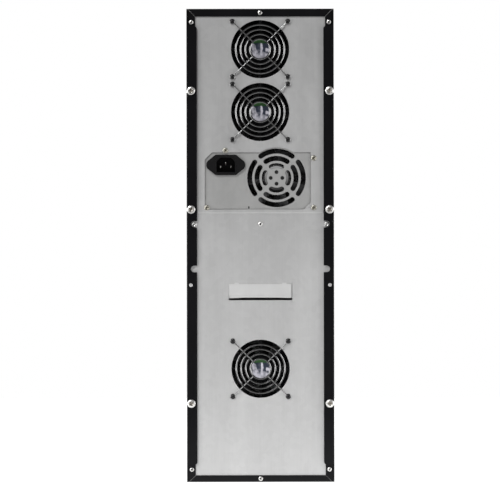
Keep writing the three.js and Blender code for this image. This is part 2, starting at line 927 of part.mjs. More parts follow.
addPiece("chassis_frame", geometryOf(chassisFrame()), blackCoat());
addPiece("left_side_cover", geometryOf(sideCover(-1)), blackCoat());
addPiece("right_side_cover", geometryOf(sideCover(1)), blackCoat());
addPiece("rear_panel_upper", geometryOf(rearPanelUpper()), zincSteel());
addPiece("rear_panel_lower", geometryOf(rearPanelLower()), zincSteel());
addPiece("front_bezel", geometryOf(frontBezel()), blackPlastic());
addPiece("drive_cage", geometryOf(driveCage()), zincSteel());

const driveBodyShape = geometryOf(driveBody());
const discTrayShape = geometryOf(discTray());
const ejectButtonShape = geometryOf(ejectButton());
for (let number = 1; number <= driveCount; number += 1) {
  const bayZ = stackBaseZ + (number - 0.5) * bayPitch;
  const drive = "drive_" + String(number).padStart(2, "0");
  addPiece(drive + "_body", driveBodyShape, greyPlastic(), 0, faceY, bayZ);
  addPiece(drive + "_tray", discTrayShape, blackPlastic(), 0, faceY, bayZ);
  addPiece(
    drive + "_eject_button",
    ejectButtonShape,
    blackPlastic(),
    ejectOffset,
    faceY,
    bayZ - ejectDrop,
  );
}

const controllerZ = stackTopZ - bayPitch / 2;
addPiece("controller_unit", geometryOf(controllerUnit()), greyPlastic(), 0, faceY, controllerZ);
addPiece("lcd_window", geometryOf(lcdWindow()), darkGlass(), 0, faceY, controllerZ);
const keyShape = geometryOf(controllerKey());
for (const { name, x } of keyPlaces()) {
  addPiece(name, keyShape, blackPlastic(), x, faceY, controllerZ);
}
const powerZ = stackBaseZ - powerButtonDrop;
addPiece("power_button", geometryOf(powerButton()), blackPlastic(), 0, frontY, powerZ);

const housingShape = geometryOf(fanHousing());
const rotorShape = geometryOf(fanRotor());
const guardShape = geometryOf(fanGuard());
const caseFans = [
  { fan: "top_fan", z: topFanZ },
  { fan: "middle_fan", z: midFanZ },
  { fan: "bottom_fan", z: lowFanZ },
];
for (const { fan, z } of caseFans) {
  addPiece(fan + "_housing", housingShape, blackPlastic(), 0, fanRearY, z);
  addPiece(fan + "_rotor", rotorShape, blackPlastic(), 0, fanRearY, z);
  addPiece(fan + "_guard", guardShape, brightWire(), 0, panelRearY + fitGap, z);
}

const supplyFanY = fanRearY - supplySheet - fitGap;
const grilleZ = supplyBaseZ + grilleHeight;
addPiece("supply_case", geometryOf(supplyCase()), zincSteel());
addPiece("supply_fan_housing", housingShape, blackPlastic(), grilleOffset, supplyFanY, grilleZ);
addPiece("supply_fan_rotor", rotorShape, greyPlastic(), grilleOffset, supplyFanY, grilleZ);
addPiece(
  "mains_inlet",
  geometryOf(mainsInlet()),
  blackPlastic(),
  inletOffset,
  fanRearY + fitGap,
  supplyBaseZ + inletHeight,
);

export default tower;
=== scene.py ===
# A disc duplicator tower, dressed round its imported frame. Metres, rear towards +Y.
import json
import math
import bpy
from mathutils import Matrix, Vector

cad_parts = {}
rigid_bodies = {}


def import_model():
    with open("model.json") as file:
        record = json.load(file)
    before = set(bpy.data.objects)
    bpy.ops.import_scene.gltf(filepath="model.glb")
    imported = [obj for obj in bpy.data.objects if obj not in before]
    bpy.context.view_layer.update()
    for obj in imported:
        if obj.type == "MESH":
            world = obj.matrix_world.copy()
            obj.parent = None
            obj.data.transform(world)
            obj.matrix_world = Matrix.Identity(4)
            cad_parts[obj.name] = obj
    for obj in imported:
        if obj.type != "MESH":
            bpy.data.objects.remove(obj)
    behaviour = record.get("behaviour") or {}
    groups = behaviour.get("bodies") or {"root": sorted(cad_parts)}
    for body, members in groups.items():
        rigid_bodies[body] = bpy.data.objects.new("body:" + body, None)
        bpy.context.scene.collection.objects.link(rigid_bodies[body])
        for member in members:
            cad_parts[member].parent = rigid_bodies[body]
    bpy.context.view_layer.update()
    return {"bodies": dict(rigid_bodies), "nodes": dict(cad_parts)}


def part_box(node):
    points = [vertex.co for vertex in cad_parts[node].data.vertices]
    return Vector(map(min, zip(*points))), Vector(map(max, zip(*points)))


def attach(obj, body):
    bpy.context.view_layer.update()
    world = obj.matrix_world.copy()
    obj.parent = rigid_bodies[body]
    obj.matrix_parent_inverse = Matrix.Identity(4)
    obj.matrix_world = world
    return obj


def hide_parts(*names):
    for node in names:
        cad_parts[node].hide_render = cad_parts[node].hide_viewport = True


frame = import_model()

mm = 0.001
near = 0.1 * mm  # how close to a level still counts as on it
over = 1 * mm  # how far a cutter passes what it cuts, or a piece runs into its neighbour
fineEdge = 0.25 * mm
quarter = math.pi / 2


# Small helpers for modelling with operators

def focus(piece):
    bpy.ops.object.select_all(action="DESELECT")
    piece.select_set(True)
    bpy.context.view_layer.objects.active = piece


def primitive(operator, name, stretch=(1, 1, 1), **settings):  # its place and stretch go into its mesh
    bpy.ops.object.select_all(action="DESELECT")
    operator(**settings)
    piece = bpy.context.object
    piece.scale = stretch
    focus(piece)
    bpy.ops.object.transform_apply(location=True, rotation=True, scale=True)
    piece.name = name
    piece.data.name = name
    return piece


def block(name, low, high):
    low, high = Vector(low), Vector(high)
    return primitive(bpy.ops.mesh.primitive_cube_add, name, high - low, size=1, location=(low + high) / 2)


def bar(name, spot, half, y0, y1):  # a block that runs along Y about the place (x, z)
    (x, z), (wide, tall) = spot, half
    return block(name, (x - wide, y0, z - tall), (x + wide, y1, z + tall))


def rod(name, spot, radius, y0, y1, sides=64):  # a round bar along Y
    x, z = spot
    return primitive(bpy.ops.mesh.primitive_cylinder_add, name, vertices=sides, radius=radius,
                     depth=y1 - y0, location=(x, (y0 + y1) / 2, z), rotation=(quarter, 0, 0))


def drum(name, spot, radius, z0, z1, sides=64):  # a round bar along Z
    x, y = spot
    return primitive(bpy.ops.mesh.primitive_cylinder_add, name, vertices=sides, radius=radius,
                     depth=z1 - z0, location=(x, y, (z0 + z1) / 2))


def edit(piece, kind="FACE", test=lambda place, way: True):  # way is a normal, or an edge's line
    focus(piece)
    bpy.ops.object.mode_set(mode="EDIT")
    bpy.ops.mesh.select_mode(type=kind)
    bpy.ops.mesh.select_all(action="DESELECT")
    bpy.ops.object.mode_set(mode="OBJECT")
    mesh = piece.data
    if kind == "FACE":
        for face in mesh.polygons:
            face.select = test(face.center, face.normal)
    elif kind == "EDGE":
        for edge in mesh.edges:
            start, end = (mesh.vertices[corner].co for corner in edge.vertices)
            edge.select = test((start + end) / 2, (end - start).normalized())
    else:
        for point in mesh.vertices:
            point.select = test(point.co, point.normal)
    bpy.ops.object.mode_set(mode="EDIT")

def leave():
    bpy.ops.object.mode_set(mode="OBJECT")


def close(piece):  # out of edit mode, with its faces turned outwards
    bpy.ops.mesh.select_all(action="SELECT")
    bpy.ops.mesh.normals_make_consistent(inside=False)
    leave()
    return piece


def extrude(*way):
    bpy.ops.mesh.extrude_region_move(TRANSFORM_OT_translate={"value": way})


def divide(place, way):  # parts all the faces along a plane
    bpy.ops.mesh.select_all(action="SELECT")
    bpy.ops.mesh.bisect(plane_co=place, plane_no=way)


def turned(name, spot, rings, sides=48):  # extruded and resized along Y through (radius, y)
    x, z = spot
    (radius, y), *rest = rings
    piece = primitive(bpy.ops.mesh.primitive_circle_add, name, vertices=sides, radius=radius,
                      fill_type="NGON", location=(x, y, z), rotation=(quarter, 0, 0))
    edit(piece)
    for nextRadius, nextY in rest:
        extrude(0, nextY - y, 0)
        share = nextRadius / radius
        bpy.ops.transform.resize(value=(share, 1, share), center_override=(x, nextY, z))
        radius, y = nextRadius, nextY
    return close(piece)


def modify(piece, kind, **settings):
    focus(piece)
    modifier = piece.modifiers.new(kind.title(), kind)
    for setting, value in settings.items():
        setattr(modifier, setting, value)
    bpy.ops.object.modifier_apply(modifier=modifier.name)
    return piece


def join(first, *others, name=None):
    focus(first)
    for piece in others:
        piece.select_set(True)
    bpy.ops.object.join()
    first.name = name or first.name
    return first


def discard(*pieces):
    for piece in pieces:
        bpy.data.objects.remove(piece)


def carve(piece, *cutters, how="DIFFERENCE"):
    for cutter in cutters:
        modify(piece, "BOOLEAN", object=cutter, operation=how, solver="EXACT")
        discard(cutter)
    return piece


def soften(piece, width, segments=2, angle=35):  # rounds the sharp edges
    modify(piece, "BEVEL", width=width, segments=segments, limit_method="ANGLE",
           angle_limit=math.radians(angle), use_clamp_overlap=True)
    return piece


def roundEdges(piece, width, segments, test):  # bevels only the edges that pass
    edit(piece, "EDGE", test)
    bpy.ops.mesh.bevel(offset=width, segments=segments)
    return close(piece)


def alongY(place, way):
    return abs(way.y) > 0.9


def alongZ(place, way):
    return abs(way.z) > 0.9


def spin(piece, angle, axis="Y"):
    piece.data.transform(Matrix.Rotation(angle, 4, axis))
    return piece


def shift(piece, way):
    piece.data.transform(Matrix.Translation(Vector(way)))
    return piece


def link(name, data):
    holder = bpy.data.objects.new(name, data)
    bpy.context.scene.collection.objects.link(holder)
    return holder


def twin(piece, name, offset=(0, 0, 0)):  # a copy with its own mesh
    other = link(name, piece.data.copy())
    other.data.name = name
    return shift(other, offset)


def merged(node):  # a copy of a CAD node, with its triangles joined into flat faces
    piece = twin(frame["nodes"][node], node + "_look")
    piece.data.materials.clear()
    edit(piece)
    bpy.ops.mesh.remove_doubles(threshold=near / 10)
    bpy.ops.mesh.dissolve_limited(angle_limit=math.radians(0.5))
    leave()
    return piece


def mapFlat(piece, corner, size):  # a UV map seen along Y
    mesh = piece.data
    layer = mesh.uv_layers[0] if mesh.uv_layers else mesh.uv_layers.new(name="UVMap")
    for loop in mesh.loops:
        place = mesh.vertices[loop.vertex_index].co
        layer.data[loop.index].uv = ((place.x - corner[0]) / size[0], (place.z - corner[1]) / size[1])


def dress(piece, slot, *paints, angle=20):  # a piece named NODE_look takes that CAD node's place
    node = piece.name.removesuffix("_look")
    focus(piece)
    bpy.ops.object.shade_smooth_by_angle(angle=math.radians(angle))
    modify(piece, "WEIGHTED_NORMAL", keep_sharp=True)  # large faces stay flat
    if list(piece.data.materials) != list(paints):
        piece.data.materials.clear()
        for paint in paints:
            piece.data.materials.append(paint)
    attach(piece, node if node in frame["bodies"] else "tower")
    if node != piece.name:
        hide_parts(node)
    return piece


def paintFaces(piece, index, test):  # gives the faces that pass another of its materials
    for face in piece.data.polygons:
        if test(face.center, face.normal):
            face.material_index = index


# Materials: each is a small sum of signals

class Signal:
    def __init__(self, paint, socket):
        self.paint = paint
        self.socket = socket

    def math(self, operation, first, second):
        return self.paint.node("ShaderNodeMath", {"operation": operation}, {0: first, 1: second})

    def __add__(self, other):
        return self.math("ADD", self, other)

    def __radd__(self, other):
        return self.math("ADD", other, self)

    def __sub__(self, other):
        return self.math("SUBTRACT", self, other)

    def __rsub__(self, other):
        return self.math("SUBTRACT", other, self)

    def __mul__(self, other):
        return self.math("MULTIPLY", self, other)

    def __rmul__(self, other):
        return self.math("MULTIPLY", other, self)

    def __gt__(self, other):
        return self.math("GREATER_THAN", self, other)

    def __lt__(self, other):
        return self.math("LESS_THAN", self, other)


class Paint:
    def __init__(self, name, **fixed):
        self.material = bpy.data.materials.new(name)
        self.material.use_nodes = True
        self.tree = self.material.node_tree
        self.surface = self.tree.nodes["Principled BSDF"]
        for socket, value in fixed.items():
            self.surface.inputs[socket.replace("_", " ")].default_value = value

    def node(self, kind, settings=None, sockets=None, output=0):
        made = self.tree.nodes.new(kind)
        for setting, value in (settings or {}).items():
            setattr(made, setting, value)
        for socket, value in (sockets or {}).items():
            self.feed(made.inputs[socket], value)
        return Signal(self, made.outputs[output])

    def feed(self, socket, value):
        if isinstance(value, Signal):
            self.tree.links.new(value.socket, socket)
        else:
            socket.default_value = value

    def place(self, stretch=(1, 1, 1)):  # where on the object, in metres, stretched
        here = self.node("ShaderNodeTexCoord", output="Object")
        return self.node("ShaderNodeMapping", None, {"Vector": here, "Scale": stretch})

    def noise(self, scale, detail=2.0, stretch=(1, 1, 1), rough=0.5, at=None):
        return self.node("ShaderNodeTexNoise", None, {
            "Vector": at or self.place(stretch), "Scale": scale, "Detail": detail, "Roughness": rough})

    def unwrapped(self):  # the piece's own UV map, and its ways across and up
        here = self.node("ShaderNodeTexCoord", output="UV")
        across = self.node("ShaderNodeSeparateXYZ", None, {"Vector": here})
        return here, across, Signal(self, across.socket.node.outputs["Y"])

    def mix(self, share, first, second):
        return self.node("ShaderNodeMix", {"data_type": "RGBA"},
                         {"Factor": share, 6: (*first, 1) if isinstance(first, tuple) else first,
                          7: (*second, 1) if isinstance(second, tuple) else second}, output=2)

    def ramp(self, signal, low, high):  # spreads low..high over 0..1
        return self.node("ShaderNodeMapRange", None,
                         {"Value": signal, "From Min": low, "From Max": high})

    def bump(self, height, strength, distance):
        bumped = self.node("ShaderNodeBump", None,
                           {"Height": height, "Strength": strength, "Distance": distance})
        self.feed(self.surface.inputs["Normal"], bumped)

    def show(self, **sockets):
        for socket, value in sockets.items():
            self.feed(self.surface.inputs[socket.replace("_", " ")], value)
        return self.material


def sheetSteel(name, dark, light, roughness, grain=0.04):
    paint = Paint(name, Metallic=0.6)
    cloud = paint.ramp(paint.noise(7, 3), 0.3, 0.7)
    smear = paint.ramp(paint.noise(30, 4, (1, 1, 0.15), 0.6), 0.3, 0.7)
    streak = paint.ramp(paint.noise(900, 2, (1, 1, 0.02)), 0.2, 0.8)
    spangle = paint.node("ShaderNodeTexVoronoi", {"feature": "F1"},
                         {"Vector": paint.place(), "Scale": 160}, output="Color")
    speck = paint.node("ShaderNodeSeparateColor", None, {"Color": spangle})
    tone = cloud * 0.35 + smear * 0.25 + streak * 0.2 + speck * 0.2
    paint.bump(streak + smear * 0.5, 0.12, grain * mm)
    return paint.show(Base_Color=paint.mix(tone, dark, light),
                      Roughness=roughness - 0.06 + (smear * 0.5 + streak * 0.3 + speck * 0.2) * 0.12)


def coat(name, tone, wear, roughness, grainScale, grainHeight, gloss=0.25):
    paint = Paint(name, Specular_IOR_Level=gloss)
    grain = paint.noise(grainScale, 2)
    dust = paint.ramp(paint.noise(14, 4, rough=0.6), 0.45, 0.8)
    paint.bump(grain, 0.35, grainHeight)
    return paint.show(Base_Color=paint.mix(dust * 0.5 + grain * 0.2, tone, wear),
                      Roughness=roughness + (grain - 0.5) * 0.16 + dust * 0.06)


def plated(name, dark, light, roughness, scale=220):
    paint = Paint(name, Metallic=1.0)
    spot = paint.ramp(paint.noise(scale, 3), 0.3, 0.7)
    fine = paint.noise(scale * 6, 2)
    paint.bump(fine, 0.1, 0.02 * mm)
    return paint.show(Base_Color=paint.mix(spot, dark, light), Roughness=roughness + fine * 0.14)


def hubLabel():  # a plain sticker with a green top and soft dark marks, the larger ones over its upper part
    paint = Paint("hub_label", Roughness=0.4)
    here, _, up = paint.unwrapped()
    tall = paint.node("ShaderNodeMapping", None, {"Vector": here, "Scale": (1.7, 0.9, 1)})
    blot, soft, fine = (paint.noise(scale, detail, at=spot)
                        for scale, detail, spot in ((2.9, 0.5, tall), (5, 1, here), (9, 3, here)))
    marks = paint.ramp(blot, 0.44, 0.5) * paint.ramp(up, 0.25, 0.5) * 0.95
    marks = marks + paint.ramp(soft, 0.42, 0.62) * 0.6
    ground = paint.mix(marks, (0.46, 0.45, 0.5), (0.015, 0.02, 0.035))
    top = paint.ramp(up + (fine - 0.5) * 0.06, 0.76, 0.8)
    green = paint.mix(paint.ramp(up, 0.8, 0.95), (0.01, 0.055, 0.008), (0.05, 0.11, 0.045))
    return paint.show(Base_Color=paint.mix(top, ground, green))


def shadedHubPlate():  # a grey ring round a dark middle, in painted light and shade: lighter at its top, darker towards its foot, and dark in the middle as painted shadow
    paint = Paint("hub_plate", Roughness=0.45)
    here, _, up = paint.unwrapped()
    reach = paint.node("ShaderNodeVectorMath", {"operation": "DISTANCE"}, {0: here, 1: (0.5, 0.5, 0)},
                       output="Value")
    # painted light and shade: lighter at the top, darker at the foot, and dark inside 0.31 of the way out
    share = paint.ramp(up + paint.noise(1600, 2) * 0.15, 0.1, 0.9) * (reach > 0.31)
    return paint.show(Base_Color=paint.mix(share, (0.01, 0.01, 0.01), (0.26, 0.26, 0.26)))


def displayBlue():  # two rows of blank cells behind a dark border
    paint = Paint("display_blue", Roughness=0.2, Specular_IOR_Level=0.15, Emission_Strength=0.5)  # no glare
    _, across, up = paint.unwrapped()

    def inside(signal, low, high):
        return (signal > low) * (signal < high)

    def part(signal, count):
        return paint.node("ShaderNodeMath", {"operation": "FRACT"}, {0: signal * count})

    lit = inside(across, 0.06, 0.94) * inside(up, 0.14, 0.86)
    cell = inside(part(across, 18), 0.12, 0.88) * inside(part(up * 1.2 - 0.1, 2), 0.14, 0.86)
    haze = paint.noise(60, 2)
    blue = paint.mix(haze, (0.015, 0.05, 0.3), (0.02, 0.075, 0.4))
    field = paint.mix(cell * 0.28, blue, (0.006, 0.02, 0.16))
    shown = paint.mix(lit, (0.004, 0.004, 0.006), field)
    return paint.show(Base_Color=shown, Emission_Color=shown)


def glow(name, tone, strength, roughness=0.2):
    paint = Paint(name, Roughness=roughness, Emission_Strength=strength)
    haze = paint.noise(160, 2)
    lit = paint.mix(haze, tone, tuple(shade * 0.7 for shade in tone))
    return paint.show(Base_Color=lit, Emission_Color=lit)


print("materials")
paints = {
    "powder": coat("black_powder", (0.002, 0.002, 0.0026), (0.0046, 0.0044, 0.0054), 0.36, 1700, 0.05 * mm,
                   0.2),
    "panel": sheetSteel("galvanised_sheet", (0.475, 0.475, 0.475), (0.61, 0.61, 0.608), 0.44),
    # a lighter copy of the panel's sheet: the knock-out is its own plate, and is painted brighter as light on
    # its lean would show
    "flap": sheetSteel("knockout_sheet", (0.6, 0.6, 0.6), (0.68, 0.68, 0.675), 0.5),
    "supply": sheetSteel("supply_sheet", (0.42, 0.42, 0.415), (0.51, 0.51, 0.505), 0.42, 0.03),
    "cage": sheetSteel("cage_sheet", (0.5, 0.5, 0.5), (0.62, 0.62, 0.62), 0.45),
    # one metal, in a darker copy for the rings and a lighter one for the legs: painted shade and painted
    # light
    "wire": plated("guard_wire", (0.13, 0.13, 0.13), (0.2, 0.2, 0.2), 0.14),
    "leg": plated("guard_leg", (0.42, 0.42, 0.42), (0.56, 0.56, 0.56), 0.2),
    "zinc": plated("screw_zinc", (0.82, 0.81, 0.79), (0.93, 0.92, 0.9), 0.3),
    "steel": plated("screw_steel", (0.5, 0.5, 0.49), (0.66, 0.66, 0.65), 0.34),
    "brass": plated("screw_yellow_zinc", (0.34, 0.33, 0.29), (0.47, 0.455, 0.4), 0.4),
    # darker paints for the screws' cross recesses: painted shade
    "brassSlotShade": plated("screw_yellow_slot", (0.17, 0.16, 0.13), (0.28, 0.26, 0.21), 0.45),
    "tan": plated("screw_recess", (0.32, 0.3, 0.265), (0.46, 0.43, 0.39), 0.5),
    "recess": plated("screw_slot", (0.07, 0.068, 0.065), (0.14, 0.135, 0.13), 0.45),
    # a lighter grey for the mitre grooves: partly bare metal, partly a painted highlight
    "seam": plated("bare_seam", (0.1, 0.1, 0.1), (0.22, 0.22, 0.215), 0.5),
    "blackScrew": coat("black_screw", (0.008, 0.008, 0.009), (0.02, 0.02, 0.02), 0.4, 2500, 0.02 * mm, 0.3),
    "fan": coat("fan_moulding", (0.0025, 0.0025, 0.003), (0.005, 0.005, 0.0055), 0.6, 2600, 0.008 * mm, 0.08),
    "blade": coat("fan_blade", (0.0025, 0.0025, 0.003), (0.005, 0.005, 0.0055), 0.6, 1500, 0.005 * mm, 0.08),
    "greyHub": coat("grey_hub", (0.05, 0.05, 0.052), (0.08, 0.08, 0.08), 0.5, 1500, 0.01 * mm),
    "bezel": coat("bezel_moulding", (0.011, 0.011, 0.0125), (0.018, 0.018, 0.0195), 0.52, 1400, 0.035 * mm,
                  0.35),
    "drive": coat("drive_face", (0.019, 0.019, 0.021), (0.027, 0.027, 0.029), 0.42, 2200, 0.03 * mm, 0.4),
    "tray": coat("tray_moulding", (0.023, 0.023, 0.025), (0.032, 0.032, 0.034), 0.36, 2600, 0.02 * mm, 0.4),
    "key": coat("key_moulding", (0.05, 0.05, 0.054), (0.065, 0.065, 0.068), 0.34, 3000, 0.01 * mm, 0.4),
    "inlet": coat("inlet_moulding", (0.0045, 0.0045, 0.005), (0.0095, 0.009, 0.009), 0.42, 2400, 0.02 * mm,
                  0.2),
    "pin": plated("pin_metal", (0.44, 0.43, 0.41), (0.6, 0.59, 0.57), 0.25),
    "label": hubLabel(),
    "plate": shadedHubPlate(),
    "display": displayBlue(),
    "lamp": glow("green_lamp", (0.02, 0.3, 0.05), 0.5),
}


# Shared levels, read from the frame

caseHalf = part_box("right_side_cover")[1].x
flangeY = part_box("left_side_cover")[1].y
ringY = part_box("chassis_frame")[1].y
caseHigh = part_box("chassis_frame")[1].z
panelLow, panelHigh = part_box("rear_panel_lower")
panelBackY, panelY, seamZ = panelLow.y, panelHigh.y, panelHigh.z
cutLow, cutHigh = panelBackY - 2 * over, panelY + 2 * over  # cutters through the rear panels
supplyLow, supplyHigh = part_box("supply_case")
supplyY = supplyHigh.y


def centre(node):
    low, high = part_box(node)
    return (low + high) / 2


def spotOf(node):  # its middle, seen along Y
    middle = centre(node)
    return middle.x, middle.z


fans = {name: spotOf(name + "_housing") for name in ("top_fan", "middle_fan", "bottom_fan", "supply_fan")}
grille = fans["supply_fan"]

fanSizes = {
    "cut": 37.5 * mm,  # the hole in the rear panel
    "screwPitch": 71.5 * mm,
    "screwHole": 2.2 * mm,
    "half": 40 * mm,
    "depth": 25 * mm,
    "bore": 38 * mm,
    "corner": 4 * mm,
    "flange": 4 * mm,
    "edge": 0.3 * mm,
    "ductWall": 1.5 * mm,
    "hub": 17 * mm,
    "hubRings": ((4.5, -17), (4.5, -3), (16.6, -3), (17, -2.4), (17, -0.6), (16.4, 0), (15.4, 0),
                 (15.2, -0.25), (2, -0.25)),  # radius and place along Y, in mm
    "bearingBore": (2.3 * mm, -18 * mm, -3.3 * mm),  # radius and ends
    "strut": 3 * mm,
    "strutY": (-2.2 * mm, -0.1 * mm),
    "strutEdge": 0.5 * mm,
    "label": 13.9 * mm,
    "supplyLabel": 16.6 * mm,
    "guardSeat": 0.3 * mm,
    "labelSeat": -0.2 * mm,
    "labelRise": 0.18 * mm,
    "labelRim": (0.5 * mm, 0.03 * mm),
}


def fanCorners():
    reach = fanSizes["screwPitch"] / 2
    return [(across * reach, up * reach) for across in (-1, 1) for up in (-1, 1)]


# Rear panels

print("rear panels")


def fanCutters(name):
    x, z = fans[name]
    yield rod("cut", (x, z), fanSizes["cut"], cutLow, cutHigh, 96)
    for across, up in fanCorners():
        yield rod("cut", (x + across, z + up), fanSizes["screwHole"], cutLow, cutHigh, 20)


upperPanel = {
    "hemHeight": 3.6 * mm,
    "hemProud": 0.5 * mm,
    "hemHalf": 81 * mm,
    "hemLap": 0.7 * mm,  # how far the hem covers the lower panel
    "hemEdge": 1 * mm,
    "hemRound": 0.4 * mm,
    "windowLeft": 71.5 * mm,
    "windowRight": 65.2 * mm,
    "windowSill": 3.9 * mm,
    "windowHead": 8.5 * mm,
    "windowChamfer": 9 * mm,
    "bulge": 39.4 * mm,
    "screwHole": 1.8 * mm,
    "supplyScrews": ((69, 6), (-69, 6), (-69, 70), (45, 80)),  # in mm, from the middle and the supply's foot
    "edge": 0.22 * mm,
}


def windowBlock(inset, y0, y1):  # the upper panel's window, made smaller all round
    size = upperPanel
    x0, x1 = -size["windowRight"] + inset, size["windowLeft"] - inset
    z0, z1 = supplyLow.z + size["windowSill"] + inset, supplyHigh.z - size["windowHead"] - inset
    window = block("cut", (x0, y0, z0), (x1, y1, z1))
    # two of its corners are cut, by a little less where it is smaller
    chamfer = size["windowChamfer"] - inset * (2 - math.sqrt(2))
    return roundEdges(window, chamfer, 1, lambda place, way: alongY(place, way)
                      and (place.x - (x0 + x1) / 2) * (place.z - (z0 + z1) / 2) > 0)


def makeUpperPanel():
    size = upperPanel
    low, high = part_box("rear_panel_upper")
    sheet = block("rear_panel_upper_look", low, (high.x, panelY, high.z))
    hemTop, hemLow, edge = low.z + size["hemHeight"], low.z - size["hemLap"], size["hemHalf"]
    edit(sheet)
    divide((0, 0, hemTop), (0, 0, 1))
    for x in (-edge, edge):
        divide((x, 0, 0), (1, 0, 0))
    leave()
    edit(sheet, test=lambda place, way: way.y > 0.9 and place.z < hemTop and abs(place.x) < edge)
    extrude(0, size["hemProud"], 0)
    close(sheet)
    edit(sheet, test=lambda place, way: way.z < -0.9 and place.y > panelY + near and place.z < hemTop)
    extrude(0, 0, -size["hemLap"])
    close(sheet)
    edit(sheet)
    divide((0, 0, hemLow + size["hemEdge"]), (0, 0, 1))
    close(sheet)
    roundEdges(sheet, size["hemRound"], 3, lambda place, way: abs(way.x) > 0.9 and place.z < hemLow + near
               and place.y > panelY + near)
    window = windowBlock(0, cutLow, cutHigh)
    bulge = rod("cut", grille, size["bulge"], cutLow, cutHigh, 96)
    screws = [rod("cut", (x * mm, supplyLow.z + z * mm), size["screwHole"], cutLow, cutHigh, 20)
              for x, z in size["supplyScrews"]]
    carve(sheet, window, bulge, *screws, *fanCutters("top_fan"), *fanCutters("middle_fan"))
    dress(soften(sheet, size["edge"]), "galvanised_steel", paints["panel"], paints["flap"])
    # the hem's rounded lower edge takes the lighter knock-out paint: a painted highlight along the hem
    paintFaces(sheet, 1, lambda place, way: place.y > panelY + near and place.z < hemLow + size["hemEdge"])


lowerPanel = {
    "gap": 0.3 * mm,  # to the upper panel
    "flapWidth": 82 * mm,
    "flapHeight": 21 * mm,
    "flapShare": 0.705,
    "slit": 0.7 * mm,
    "narrowSlit": 0.15 * mm,
    "drop": 2.4 * mm,
    "foldShares": (-0.4, 0.05, 0.5),
    "slope": 0.4 * mm,  # the flap's lower edge rises by this much towards -X
    "bow": 0.8 * mm,  # and by this much in the middle
    "tab": 5.5 * mm,
    "tabProud": 0.25 * mm,
    "tabRise": 1.5 * mm,
    "tabLap": 0.6 * mm,
    "tabShare": 0.75,
    "lean": 4.0,  # degrees that the flap's lower edge is bent out
    "flapEdge": 0.2 * mm,
}


def makeLowerPanel():
    size = lowerPanel
    sheet = block("rear_panel_lower_look", panelLow, panelHigh)
    middle = (seamZ + size["gap"]) * size["flapShare"]
    half, tall = size["flapWidth"] / 2, size["flapHeight"] / 2
    low, high = middle - tall, middle + tall
    carve(sheet, bar("cut", (0, middle), (half, tall), cutLow, cutHigh), *fanCutters("bottom_fan"))
    # the knock-out still hangs on two narrow tabs at its upper edge
    flapTop = high - size["narrowSlit"]
    flap = block("flap", (-half + size["slit"], panelBackY, low + size["drop"]),
                 (half - size["narrowSlit"], panelY, flapTop))
    edit(flap)
    for share in size["foldShares"]:
        divide((share * half, 0, 0), (1, 0, 0))
    leave()
    for rise, test in ((size["slope"], lambda place, way: place.x < -0.5 * half and place.z < middle),
                       (size["bow"], lambda place, way: abs(place.x) < 0.6 * half and place.z < middle)):
        edit(flap, "VERT", test)
        bpy.ops.transform.translate(value=(0, 0, rise))
        leave()
    edit(flap)
    bpy.ops.transform.rotate(value=math.radians(size["lean"]), orient_axis="X",
                             center_override=(0, panelY, flapTop))
    close(flap)
    tabs = []
    for side in (-1, 1):
        x, wide = side * size["tabShare"] * half, size["tab"] / 2
        tabs.append(block("tab", (x - wide, panelBackY + near, flapTop - size["tabLap"]),
                          (x + wide, panelY + size["tabProud"], high + size["tabRise"])))
    join(flap, *tabs, name="knockout_flap")
    dress(soften(sheet, upperPanel["edge"]), "galvanised_steel", paints["panel"])
    # its lighter sheet is partly painted light
    dress(soften(flap, size["flapEdge"]), "galvanised_steel", paints["flap"])


makeUpperPanel()
makeLowerPanel()


# Black chassis and side covers

print("chassis and covers")
coverSizes = {
    "round": 0.45 * mm,
    "edge": 0.25 * mm,
    "fold": 1.2 * mm,
    "corner": 0.9 * mm,  # the tower's outer corners
    "cornerBand": 1.4 * mm,
    "flangeEnd": 1 * mm,
    "flangeEndBand": 26 * mm,
    "flangeInner": 85 * mm,
    "flangeDeep": 1.5 * mm,
    "ringInner": (83.8 * mm, 8.5 * mm, 600 * mm),  # half width, low and high edge of the rear ring
    "mitre": 0.55 * mm,
    "mitreLong": 15 * mm,
}


def byFootOrTop(place, band):
    return place.z < band or place.z > caseHigh - band


def outerFold(place, way):
    return alongZ(place, way) and place.y > flangeY - near and abs(place.x) > caseHalf - near


def outerCorner(place, way):
    return (alongY(place, way) and abs(place.x) > caseHalf - near
            and byFootOrTop(place, coverSizes["cornerBand"]))


def flangeEnd(place, way):
    size = coverSizes
    return (alongY(place, way) and place.y > flangeY - size["flangeDeep"]
            and abs(place.x) < size["flangeInner"] and byFootOrTop(place, size["flangeEndBand"]))


def cutMitres(chassis):  # a fine groove runs through each corner of the rear ring
    across, low, high = coverSizes["ringInner"]
    half, long = coverSizes["mitre"] / 2, coverSizes["mitreLong"]
    cutters = []
    for side in (-1, 1):
        for z, up in ((low, -1), (high, 1)):
            groove = spin(block("cut", (0, -half, -half), (long, half, half)), quarter / 2, "X")
            cutters.append(shift(spin(groove, -math.atan2(up, side)), (side * across, ringY, z)))
    carve(chassis, *cutters)


def makeCovers():
    size = coverSizes
    chassis = soften(merged("chassis_frame"), size["round"])
    cutMitres(chassis)
    dress(chassis, "black_powder_coat", paints["powder"], paints["seam"])
    across, low, high = size["ringInner"]
    # the groove walls take the lighter seam paint: partly bare metal, partly a painted highlight along each
    # mitre
    paintFaces(chassis, 1, lambda place, way: place.y > ringY - size["mitre"] and 0.5 < way.y < 0.9
               and abs(place.x) > across and (place.z < low or place.z > high)
               and abs(abs(way.x) - abs(way.z)) < 0.1)
    for node in ("left_side_cover", "right_side_cover"):
        cover = merged(node)
        for width, segments, test in ((size["fold"], 4, outerFold), (size["flangeEnd"], 3, flangeEnd),
                                      (size["corner"], 3, outerCorner)):
            edit(cover, "EDGE", test)
            bpy.ops.mesh.bevel(offset=width, segments=segments)
            leave()
        dress(soften(cover, size["edge"]), "black_powder_coat", paints["powder"])


makeCovers()


# Screws and rivets

